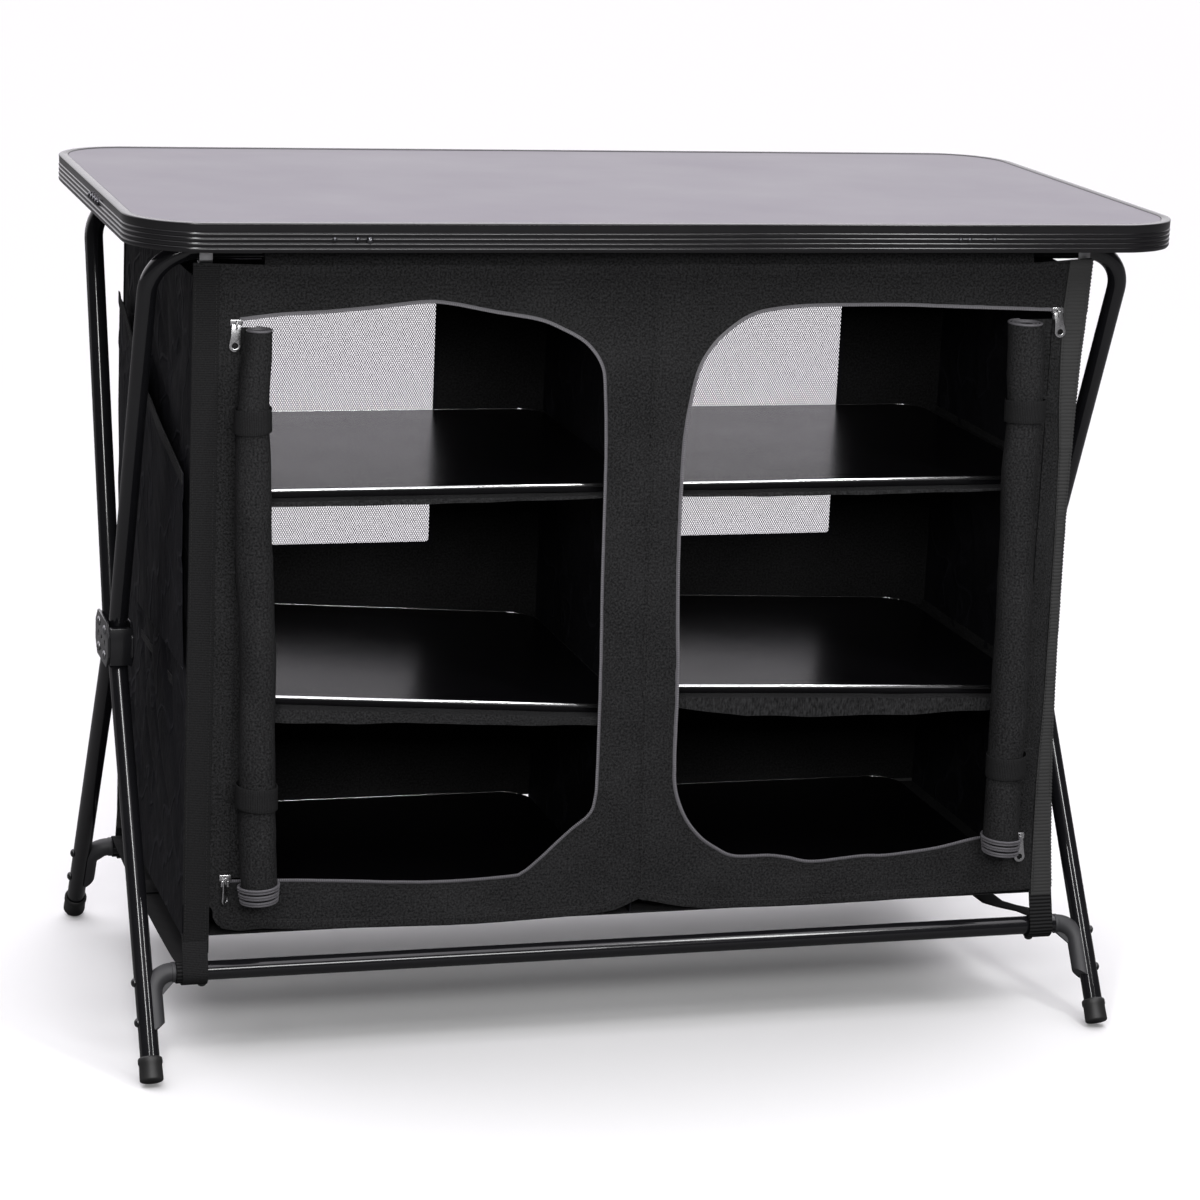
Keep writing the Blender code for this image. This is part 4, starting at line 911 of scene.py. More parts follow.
class CUPBOARD_OT_worktop(CupboardOperator):
    """Panel, ribbed trim, trim screws and rail clips"""
    bl_idname = "cupboard.worktop"
    bl_label = "Worktop"

    def build(self, tubes, top, cloth, colours):
        back = top.trim_wall + top.rib_depth
        low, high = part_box("table_panel")
        inset = back + top.lip_reach + GAP
        ledge = TRIM_HIGH.z - top.lip - GAP
        levels = [(inset - 0.001, low.z), (back + GAP, low.z), (back + GAP, ledge), (inset, ledge),
                  (inset, high.z - PANEL_ROUND), (inset + PANEL_ROUND, high.z)]
        rows = list(zip(*self.rings(levels, top.corner)))
        panel = capped(lofted("table_panel_finish", rows, closed=True))
        settle(panel, "table_top", "worktop", laminate(colours.laminate), ["table_panel"], turn_out=True,
               sharp=30)
        rows = [[*row, row[0]] for row in zip(*self.rings(self.section(top, back), top.corner))]
        trim = lofted("table_trim_finish", rows, closed=True)
        settle(trim, "table_top", "trim", anodised(colours.anodised), ["table_trim"], turn_out=True,
               sharp=50)

        middle = TRIM_LOW.z + (TRIM_HIGH.z - TRIM_LOW.z) * 0.47
        dark = bright_metal((0.14, 0.14, 0.15), "screw_black", 0.20)
        small = [(x, -TOP_HALF_Y, middle) for n, x in enumerate(TRIM_SCREWS) if n != MIDDLE_SCREW]
        big = [(TRIM_SCREWS[MIDDLE_SCREW], -TOP_HALF_Y, middle - 0.001)]
        splice = [(-TOP_HALF_X, y, middle + 0.003) for y in SPLICE_SCREWS]
        for name, spots, facing, factor in (("trim_screws", small, (0, -1, 0), 0.85),
                                            ("trim_big_screw", big, (0, -1, 0), 1.3),
                                            ("splice_screws", splice, (-1, 0, 0), 1.35)):
            radius = top.screw * factor
            studs(name, spots, "table_top", "trim", dark, radius, radius * 0.8, facing)

        steel = bright_metal((0.42, 0.42, 0.43), "clip_steel", 0.38)
        for end_name, end in ENDS.items():
            for side in SIDES:
                self.clip(f"{end_name}_{side}_clip", end, steel)

    def rings(self, section, corner):
        """The worktop's outline at each inset and height of a section."""
        return [[(x, y, z) for x, y in rounded_rectangle(TOP_HALF_X - i, TOP_HALF_Y - i, corner - i)]
                for i, z in section]

    def section(self, top, back):
        """The trim's section, as insets and heights, with its ribs and its rolled lip."""
        base, crest = TRIM_LOW.z, TRIM_HIGH.z
        reach, depth, rim = back + top.lip_reach, top.rib_depth, TRIM_RIM
        section = [(reach, crest - top.lip), (back, crest - top.lip), (back, base + top.lip),
                   (reach, base + top.lip), (reach, base), (depth, base)]
        first = base + RIB_MARGIN
        for rib in range(top.ribs):
            turns = [math.pi * (0.06 + 0.88 * n / 7) for n in range(8)]
            section += [(depth * (1 - math.sin(turn)),
                         first + RIB_STEP * (rib + 0.5 - 0.5 * math.cos(turn))) for turn in turns]
        crown = first + top.ribs * RIB_STEP
        section += [(depth * 0.5, crown), (0.0003, crown + 0.0005), (0.0002, crest - rim - 0.0012)]
        section += [(rim - rim * math.cos(a), crest - rim + rim * math.sin(a))
                    for a in (math.pi / 2 * n / 5 for n in range(6))]
        return section + [(reach - 0.0006, crest), (reach, crest - 0.0004)]

    def clip(self, name, end, steel):
        """A bent steel clip round the rail, with rounded bends."""
        low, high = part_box(name)
        wall = 0.0015
        outer, inner = (low.y, high.y) if end < 0 else (high.y, low.y)
        top, lip = high.z - wall / 2, low.z + wall / 2
        edge = outer - end * wall / 2
        corners = [(0, inner, top), (0, edge, top), (0, edge, lip), (0, outer - end * 0.0115, lip)]
        rows = [[(x, point.y, point.z) for x in (low.x, (low.x + high.x) / 2, high.x)]
                for point in rounded_path(corners, 0.003, 6)]
        item = soften(thicken(lofted(name + "_finish", rows), wall, even=True), 0.0003)
        settle(item, "table_top", "clip", steel, [name])


class CUPBOARD_OT_hubs(CupboardOperator):
    """Folding hubs: plates, spacers and rivets"""
    bl_idname = "cupboard.hubs"
    bl_label = "Hubs"

    def build(self, tubes, top, cloth, colours):
        black = enamel(colours.enamel, "hub_enamel", 0.24)
        bright = bright_metal((0.30, 0.30, 0.31), "rivet_steel", 0.30)
        height = (UPPER_PIVOT + LOWER_PIVOT) / 2
        for side, sign in SIDES.items():
            low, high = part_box(f"{side}_hub_outer_plate")
            outer = (high.x + low.x) / 2
            for layer, middle in (("inner", 2 * sign * TUBE_PLANE - outer), ("outer", outer)):
                plate = self.plate(f"{side}_hub_{layer}_finish", low, high, middle, height,
                                   tubes.plate_wall)
                if layer == "inner":
                    apart = 2 * abs(abs(middle) - TUBE_PLANE) - tubes.plate_wall
                    self.spacers(plate, sign, middle, (high.x - low.x) / 2 + apart, height)
                settle(plate, "hubs", "hub", black, [f"{side}_hub_{layer}_plate"])
            face = (low if sign < 0 else high).x
            spots = [(face, end * PIVOT_Y, z) for end in ENDS.values() for z in (UPPER_PIVOT, LOWER_PIVOT)]
            studs(side + "_hub_rivets", spots, "hubs", "hub", bright, 0.0046, 0.0022, (sign, 0, 0))

    def plate(self, name, low, high, middle, height, wall):
        length, rise, chamfer = high.y, (high.z - low.z) / 2, 0.012
        outline = [(length, chamfer - rise), (length, rise - chamfer), (length - chamfer, rise),
                   (chamfer - length, rise), (-length, rise - chamfer), (-length, chamfer - rise),
                   (chamfer - length, -rise), (length - chamfer, -rise)]
        rings = [outline] + [circle(0.0036, 24, (spot, 0.0)) for spot in (-0.020, 0.0, 0.020)]
        item = outline_item(name, rings, wall / 2 - 0.0004, 0.0004, 2)
        item.matrix_world = (Matrix.Translation((middle, 0, height))
                             @ Matrix(((0, 0, 1), (1, 0, 0), (0, 1, 0))).to_4x4())
        return link(bpy.data.objects.new(name, joined(baked(item), 0.00002)))

    def spacers(self, plate, sign, middle, width, height):
        """Blocks between a hub's two plates."""
        with edited(plate.data) as bm:
            for end in ENDS.values():
                spot = Matrix.Translation((middle + sign * width / 2, end * 0.0338, height))
                bmesh.ops.create_cube(bm, size=1.0,
                                      matrix=spot @ Matrix.Diagonal((width, 0.0082, 0.036, 1)))
        soften(plate, 0.0003)


class CUPBOARD_OT_upper_frames(CupboardOperator):
    """U-shaped upper tubes"""
    bl_idname = "cupboard.upper_frames"
    bl_label = "Upper frames"

    def build(self, tubes, top, cloth, colours):
        black = enamel(colours.enamel)
        for name, end in ENDS.items():
            foot = Vector((0, end * PIVOT_Y, UPPER_PIVOT))
            head = Vector((0, end * tubes.rail_spread, tubes.rail_height))
            down = (foot - head).normalized() * tubes.tube_end
            aside = Vector((TUBE_PLANE, 0, 0))
            corners = [foot + down - aside, head - aside, head + aside, foot + down + aside]
            tube(name + "_upper_tube_finish", [rounded_path(corners, tubes.rail_bend, 16)],
                 name + "_upper_frame", "tube", black, tubes.tube_radius, tubes.tube_sides,
                 [name + "_upper_tube"])


def leg_axis(end):
    """A lower leg's pivot end and the direction in which it runs down."""
    low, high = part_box(f"{'front' if end < 0 else 'rear'}_crossbar")
    bar = Vector((0, (low.y + high.y) / 2, BAR_HEIGHT))
    pivot = Vector((0, end * PIVOT_Y, LOWER_PIVOT))
    return pivot, (bar - pivot).normalized(), bar


class CUPBOARD_OT_lower_frames(CupboardOperator):
    """Legs, crossbars, elbows, rivets and feet"""
    bl_idname = "cupboard.lower_frames"
    bl_label = "Lower frames"

    def build(self, tubes, top, cloth, colours):
        black = PAINTS["tube_enamel"]
        plastic = moulded(colours.plastic, "elbow_plastic", 0.52)
        rubber = moulded(colours.rubber, "foot_rubber", 0.50)
        rivet = enamel(colours.enamel, "rivet_black", 0.25)
        radius, sides = tubes.tube_radius, tubes.tube_sides
        for name, end in ENDS.items():
            body = name + "_lower_frame"
            pivot, down, bar = leg_axis(end)
            foot_length = -pivot.z / down.z
            for side, sign in SIDES.items():
                across = Vector((sign * TUBE_PLANE, 0, 0))
                stub = f"{name}_{side}_"
                ends = [pivot - down * tubes.tube_end + across,
                        pivot + down * (foot_length - 0.0150) + across]
                tube(stub + "leg_finish", [ends], body, "tube", black, radius, sides, [stub + "leg"])
                self.elbow(stub, body, sign, bar, down, across, tubes, plastic)
                self.foot(stub, body, pivot + down * foot_length + across, down, tubes, rubber)
                self.rivets(stub, body, sign, bar, down, tubes, rivet)
            reach = Vector((TUBE_PLANE - 0.0299, 0, 0))
            tube(name + "_crossbar_finish", [[bar - reach, bar + reach]], body, "tube", black, radius,
                 sides, [name + "_crossbar"])

    def elbow(self, stub, body, sign, bar, down, across, tubes, plastic):
        """A bent fitting: a round arm to the crossbar, a shoe against the leg and a web between them."""
        inward = Vector((-sign, 0, 0))
        corner = bar + Vector((sign * (TUBE_PLANE - 0.0075), 0, 0))
        mouth = bar + Vector((sign * (TUBE_PLANE - 0.0295), 0, 0))
        toe = corner + down * (tubes.elbow_bend + tubes.elbow_shoe)
        arm = line_item(stub + "elbow_finish", rounded_path([mouth, corner, toe], tubes.elbow_bend, 12))
        PIPES.use(arm, plastic, radius=tubes.tube_radius, sides=tubes.tube_sides)
        item = link(bpy.data.objects.new(stub + "elbow_finish", baked(arm)))
        turn = Matrix((inward, down, inward.cross(down))).transposed().to_4x4()
        web = (Matrix.Translation(corner + (inward + down) * 0.0104) @ turn
               @ Matrix.Rotation(math.pi / 4, 4, "Z") @ Matrix.Diagonal((0.013, 0.019, 0.0025, 1)))
        beyond = Matrix.Translation(corner - inward * 0.0205) @ Matrix.Diagonal((0.036, 0.15, 0.15, 1))
        slant = (Matrix.Translation(toe + inward * 0.012) @ turn
                 @ Matrix.Rotation(math.radians(-38), 4, "Z") @ Matrix.Diagonal((0.05, 0.016, 0.05, 1)))
        helpers = []
        for operation, place in (("UNION", web), ("DIFFERENCE", None), ("DIFFERENCE", beyond),
                                 ("DIFFERENCE", slant)):
            helper = block_item("tool", place) if place else self.leg_tool(bar + across, down, tubes)
            helpers.append(helper)
            modifier = item.modifiers.new("shape", "BOOLEAN")
            modifier.operation = operation
            modifier.solver = "EXACT"
            modifier.object = helper
        settle(item, body, "elbow", plastic, [stub + "elbow"], sharp=35)
        for helper in helpers:
            bpy.data.objects.remove(helper)

        collar = line_item(stub + "elbow_collar", [mouth - inward * 0.0035, mouth + inward * 0.0001])
        PIPES.use(collar, plastic, radius=tubes.tube_radius + 0.0006, sides=tubes.tube_sides)
        settle(soften(collar, 0.0004), body, "elbow", None, turn_out=True)

    def leg_tool(self, leg, down, tubes):
        """A rod in the leg's place, which cuts the elbow's shoe to fit it."""
        start, end = leg - down * 0.06, leg + down * 0.09
        mesh = bpy.data.meshes.new("tool")
        turn = (end - start).to_track_quat("Z", "Y").to_matrix().to_4x4()
        place = Matrix.Translation((start + end) / 2) @ turn
        radius = tubes.tube_radius + GAP
        with edited(mesh) as bm:
            bmesh.ops.create_cone(bm, cap_ends=True, segments=48, radius1=radius, radius2=radius,
                                  depth=(end - start).length, matrix=place)
        return link(bpy.data.objects.new("tool", mesh))

    def foot(self, stub, body, ground, down, tubes, rubber):
        """A rubber cap with a rolled rim and a rounded end, square to its leg."""
        radius = tubes.tube_radius + GAP
        outer = radius + tubes.cap_wall
        length = tubes.cap_length - 0.0015
        rounding = 0.0022
        profile = [(0.0, 0.0)]
        profile += [(outer - rounding + rounding * math.sin(a), rounding - rounding * math.cos(a))
                    for a in (math.pi / 2 * n / 5 for n in range(6))]
        profile += [(outer - 0.0003, length - 0.007), (outer + 0.0004, length - 0.0055),
                    (outer + 0.0004, length - 0.002), (outer, length - 0.0006), (outer - 0.0007, length),
                    (radius, length - 0.0006), (radius, length - 0.004), (0.0, length - 0.004)]
        slope = math.hypot(down.x, down.y) / -down.z
        lift = max(r * slope - h for r, h in profile)
        turn = (-down).to_track_quat("Z", "X").to_matrix().to_4x4()
        place = Matrix.Translation(ground - down * lift) @ turn
        rows = [[place @ Vector((r * u, r * v, h)) for r, h in profile] for u, v in circle(1.0, 40)]
        item = lofted(stub + "foot_finish", rows, closed=True)
        joined(item.data, 0.00002)
        settle(item, body, "rubber", rubber, [stub + "foot"], turn_out=True)

    def rivets(self, stub, body, sign, bar, down, tubes, rivet):
        face = sign * (TUBE_PLANE + tubes.tube_radius)
        spots = [(face, *(bar + down * drop).yz) for drop in (0.008, 0.046)]
        studs(stub + "leg_rivets", spots, body, "elbow", rivet, 0.0043, 0.0030, (sign, 0, 0))
        under = [(sign * 0.4155, bar.y, bar.z - tubes.tube_radius - 0.0036)]
        studs(stub + "bar_rivet", under, body, "elbow", rivet, 0.0042, 0.0026, (0, 0, -1))


def strap_item(name, path, low_x, high_x, wall):
    """A strap of webbing whose side view is path."""
    columns = [low_x + (high_x - low_x) * n / 4 for n in range(5)]
    rows = [[(x + point.x, point.y, point.z) for x in columns] for point in path]
    return soften(thicken(lofted(name, rows), wall), wall * 0.3)


def arc_points(centre, radius, start, end, steps):
    """Points in the YZ plane on a circle, angles in degrees."""
    angles = [math.radians(start + (end - start) * n / steps) for n in range(steps + 1)]
    return [Vector((0, centre[0] + radius * math.cos(a), centre[1] + radius * math.sin(a)))
            for a in angles]


def turned_over(path, end):
    return [Vector((point.x, -end * point.y, point.z)) for point in path]


class CUPBOARD_OT_straps(CupboardOperator):
    """Lower corner straps and the tie straps between the crossbars"""
    bl_idname = "cupboard.straps"
    bl_label = "Straps"

    def build(self, tubes, top, cloth, colours):
        fuzzy = ribbed(colours.webbing, "hook_loop", 0.0016, 0.75)
        band = ribbed(colours.webbing, "webbing", 0.0035, 0.35)
        ring = tubes.tube_radius + GAP + cloth.webbing / 2
        loop = ring + cloth.webbing + GAP
        axle = (-BAR_SPREAD, BAR_HEIGHT)
        for name, end in ENDS.items():
            for side in SIDES:
                node = f"{name}_{side}_lower_strap"
                low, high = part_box(node)
                path = [Vector((0, FRONT_FACE - cloth.webbing / 2, high.z + 0.004))]
                path += arc_points(axle, loop, 168, 300, 18)
                item = strap_item(node + "_finish", turned_over(path, end), low.x, high.x, cloth.webbing)
                settle(item, name + "_lower_frame", "webbing", fuzzy if side == "left" else band, [node])
        level = BAR_HEIGHT + ring - 0.0062
        wrap = arc_points(axle, ring, 90, 305, 20)
        for side in SIDES:
            low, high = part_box(side + "_tie_strap")
            sag = [Vector((0, 0.017 * n, level + 0.004 * (n / 10) ** 2)) for n in range(-10, 11)]
            path = wrap[::-1] + sag + turned_over(wrap, 1)
            if side == "right":
                self.lead_aside(path, 0.4235 - (low.x + high.x) / 2)
            item = strap_item(side + "_tie_strap_finish", path, low.x, high.x, cloth.webbing)
            piece = settle(item, "tie_straps", "webbing", band, [side + "_tie_strap"])
            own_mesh(piece)
        low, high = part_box("left_tie_strap")
        lap = [Vector((0, y, level + 0.0016)) for y in (0.022, 0.060)]
        item = strap_item("left_tie_strap_lap", lap, low.x, high.x, cloth.webbing)
        piece = settle(item, "tie_straps", "webbing", band)
        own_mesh(piece)

    def lead_aside(self, path, aside):
        """Moves a strap's two ends sideways on their crossbars, easing in from its middle."""
        for point in path:
            share = max(0.0, min(1.0, (abs(point.y) - 0.135) / 0.045))
            point.x = aside * share * share * (3 - 2 * share)


class CUPBOARD_OT_cabinet(CupboardOperator):
    """Side walls, back with its windows, divider, floor, shelf cloths and the side pocket"""
    bl_idname = "cupboard.cabinet"
    bl_label = "Cabinet"

    def build(self, tubes, top, cloth, colours):
        nylon = thin_nylon(colours.nylon)
        weave = woven(colours.cloth)
        self.side_walls(cloth, nylon)
        self.back(cloth, colours)
        self.inner_sheets(cloth, nylon, weave)
        self.pocket(cloth, nylon, weave)

    def sheet(self, name, place, width, height, cloth, material, slot, nodes, body="bag"):
        """A rectangular sheet whose surface is place(u, v), u and v from 0 to 1."""
        columns = max(4, round(width / cloth.spacing / 1.6))
        rows_count = max(4, round(height / cloth.spacing / 1.6))
        rows = [[place(u / columns, v / rows_count) for u in range(columns + 1)]
                for v in range(rows_count + 1)]
        piece = settle(thicken(lofted(name, rows), cloth.wall), body, slot, material, nodes)
        return gather_cloth(piece)

    def side_walls(self, cloth, nylon):
        low, high = WALL_LOW, WALL_HIGH
        depth = high.y - low.y
        for side, sign in SIDES.items():
            def place(u, v, sign=sign):
                y, z = low.y + depth * u, low.z + (high.z - low.z) * v
                edge = math.sin(math.pi * u) ** 0.5 * min(1.0, 8 * (1 - v)) * min(1.0, 6 * v)
                belly = 0.0030 * ripple(y, z, 0.16, 11.0 + sign) + 0.0012 * ripple(y, z, 0.05, 2.0 + sign)
                folds = 0.0034 * crease(y, z, 0.055, 0.85, 4.0, 4.2 * sign)
                folds += 0.0028 * crease(y, z, 0.060, -1.1, 4.0, 8.4 * sign)
                return drawn_in(Vector((sign * (BAG_SIDE - 0.0012 - edge * (belly + folds)), y, z)))
            self.sheet(side + "_wall_finish", place, depth, high.z - low.z, cloth, nylon, "nylon",
                       [side + "_wall"])

    def back(self, cloth, colours):
        """The back wall with two windows, their binding and their netting."""
        y = REAR_HIGH.y - 0.0022
        outline = [(-BAG_SIDE, BAG_BOTTOM + 0.004), (BAG_SIDE, BAG_BOTTOM + 0.004), (BAG_SIDE, BAG_TOP),
                   (-BAG_SIDE, BAG_TOP)]
        windows = {}
        for side, sign in SIDES.items():
            inner, outer = sign * WINDOW_INNER, sign * WINDOW_OUTER
            windows[side] = [(inner, WINDOW_LOW), (outer, WINDOW_LOW), (outer, WINDOW_HIGH),
                             (inner, WINDOW_HIGH)]
        points, faces = cut_cloth(outline, list(windows.values()), cloth.spacing * 1.5)

        def depth(x, z):
            return y + 0.0009 * ripple(x, z, 0.12, 21.0) + 0.0010 * crease(x, z, 0.06, 0.8, 3.0, 9.0)

        placed = [Vector((p.x, depth(p.x, p.y), p.y)) for p in points]
        item = mesh_item("rear_wall_finish", placed, faces, flat=[tuple(p) for p in points])
        # The back wall's cloth is painted at 0.45 of the front cloth: painted shade for the dark inside of
        # the cabinet.
        shaded_rear_cloth = woven([value * 0.45 for value in colours.cloth], "rear_cloth")
        gather_cloth(settle(thicken(item, cloth.wall), "bag", "cloth", shaded_rear_cloth, ["rear_wall"]))

        strand = Finish("netting", (0.10, 0.06, 0.14), 0.6)
        fleck = strand.noise(strand.place(), 800.0, 2.0)
        strand.wear(Base_Color=strand.blend(fleck, (0.06, 0.035, 0.09), (0.16, 0.10, 0.22)),
                    Roughness=strand.between(fleck, 0.5, 0.75))
        for side, sign in SIDES.items():
            low_x, high_x = sorted((sign * WINDOW_INNER, sign * WINDOW_OUTER))
            lines = []
            for slope in (1, -1):
                lines += self.diagonals(low_x, high_x, cloth.net_pitch, slope, y + 0.0002 * slope)
            net = tube(side + "_window_net", lines, "bag", "cloth", strand.material, cloth.strand, 4)
            gather_cloth(net)
            border = rounded_path([(low_x, 0, WINDOW_LOW), (high_x, 0, WINDOW_LOW),
                                   (high_x, 0, WINDOW_HIGH), (low_x, 0, WINDOW_HIGH)], 0.003, 3)
            rows = []
            for point in border + [border[0]]:
                right = math.copysign(1, point.x - (low_x + high_x) / 2)
                up = math.copysign(1, point.z - (WINDOW_LOW + WINDOW_HIGH) / 2)
                rows.append([(point.x + right * w, y - 0.0012, point.z + up * w)
                             for w in (-0.0008, 0.0012, 0.0032)])
            tape = thicken(lofted(side + "_window_binding", rows), 0.0008)
            gather_cloth(settle(tape, "bag", "nylon", PAINTS["thin_nylon"]))
        for side, sign in SIDES.items():
            inner, outer = sign * (BAG_SIDE - 0.0235), sign * (BAG_SIDE + 0.0005)
            rows = [[(x, REAR_HIGH.y - 0.0006, z) for x in (inner, (inner + outer) / 2, outer)]
                    for z in (BAG_BOTTOM - 0.014, 0.45, BAG_TOP)]
            item = thicken(lofted(side + "_rear_band", rows), 0.0015)
            gather_cloth(settle(item, "bag", "webbing", PAINTS["webbing"]))

    def diagonals(self, low_x, high_x, pitch, slope, y):
        """Straight slanting strands across a window, cut to its edges."""
        height = WINDOW_HIGH - WINDOW_LOW
        step = pitch / math.sin(NET_SLANT)
        reach = height / math.tan(NET_SLANT)
        lines = []
        for number in range(int((high_x - low_x + reach) / step)):
            start = low_x - reach + (number + 0.5) * step
            first, last = (start, start + reach) if slope > 0 else (start + reach, start)
            cuts = sorted(max(0.0, min(1.0, (x - first) / (last - first))) for x in (low_x, high_x))
            if cuts[1] - cuts[0] > 0.004:
                lines.append([(first + (last - first) * cut, y, WINDOW_LOW + height * cut) for cut in cuts])
        return lines

    def inner_sheets(self, cloth, nylon, weave):
        low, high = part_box("divider")
        depth = high.y - low.y

        def divider(u, v):
            y, z = low.y + depth * u, low.z + (high.z - low.z) * v
            x = 0.0016 * ripple(y, z, 0.10, 31.0) + 0.0012 * crease(y, z, 0.06, 0.9, 3.0, 33.0)
            return Vector((x, y, z))

        self.sheet("divider_finish", divider, depth, high.z - low.z, cloth, nylon, "nylon", ["divider"])
        low, high = FLOOR_LOW, FLOOR_HIGH

        def floor(u, v):
            x, y = low.x + (high.x - low.x) * u, low.y + (high.y - low.y) * v
            edge = min(1.0, 12 * min(u, 1 - u)) * min(1.0, 6 * min(v, 1 - v))
            return Vector((x, y, low.z + 0.0004 - 0.0012 * edge * (0.5 + ripple(x, y, 0.08, 41.0))))

        self.sheet("bag_floor_finish", floor, high.x - low.x, high.y - low.y, cloth, weave, "cloth",
                   ["bag_floor"])
        for level in ("middle", "upper"):
            for side in SIDES:
                self.deck(f"{level}_{side}", cloth, weave)

    def deck(self, name, cloth, weave):
        """A shelf cloth under its board, with a hem at its front and a seam up each side."""
        low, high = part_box(name + "_deck")
        board_low, board_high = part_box(name + "_board")
        width = high.x - low.x
        drop = 0.014
        tilt = (board_high.z - board_low.z - 0.008) / (board_high.x - board_low.x)
        middle = (board_low.x + board_high.x) / 2
        base = (board_low.z + board_high.z) / 2 - 0.0052
        hem = [(n / 4, length) for n, length in enumerate(DECK_HEMS[name])]
        seed = len(name) + (7 if "left" in name else 3)

        def level(x):
            return base - tilt * (x - middle)

        def place(u, v):
            x = low.x + width * u
            run = v * (high.y - low.y + drop)
            if run < drop:
                hang = (1 - run / drop) * (read_off(hem, u) + 0.0012 * ripple(x, 0, 0.05, seed))
                y = low.y + 0.0008 - 0.0022 * ripple(x, run, 0.05, seed)
                return drawn_in(Vector((x, y, level(x) - hang)))
            y = low.y + 0.0006 + run - drop
            belly = 0.0012 * max(0.0, ripple(x, y, 0.06, seed + 5.0))
            return drawn_in(Vector((x, min(y, high.y), level(x) - belly)))

        self.sheet(name + "_deck_finish", place, width, high.y - low.y + drop, cloth, weave, "nylon",
                   [name + "_deck"])
        for label, x in (("left", low.x + 0.0008), ("right", high.x - 0.0008)):
            rows = [[drawn_in(Vector((x, low.y + (high.y - low.y) * n / 30, level(x) + rise)))
                     for rise in (0.0, 0.0035, 0.007)] for n in range(31)]
            seam = thicken(lofted(f"{name}_{label}_seam", rows), 0.0012)
            gather_cloth(settle(seam, "bag", "nylon", weave))

    def pocket(self, cloth, nylon, weave):
        """A flat pocket on the left wall whose mouth gapes."""
        low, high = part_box("side_pocket")
        rear, front = high.y, low.y
        top_rear, top_front, bottom = high.z, 0.563, low.z

        def place(u, v):
            y = front + (rear - front) * u
            top = top_front + (top_rear - top_front) * u
            z = bottom + (top - bottom) * v
            gape = v ** 1.6 * (0.35 + 0.65 * math.sin(math.pi * min(1.0, u * 1.1)))
            belly = 0.0015 * math.sin(math.pi * v) + 0.0011 * ripple(y, z, 0.07, 51.0)
            folds = 0.0018 * crease(y, z, 0.05, 0.7, 3.0, 55.0)
            return Vector((-BAG_SIDE - 0.0024 - 0.0085 * gape - max(0.0, belly) - folds * v, y, z))

        self.sheet("side_pocket_finish", place, rear - front, top_rear - bottom, cloth, nylon, "nylon",
                   ["side_pocket"])
        mouth = [place(n / 30, 1.0) for n in range(31)]
        rows = [[p + Vector((-0.0008, 0, dz)) for dz in (-0.010, -0.005, 0.001)] for p in mouth]
        gather_cloth(settle(thicken(lofted("pocket_binding", rows), 0.0010), "bag", "cloth", weave))


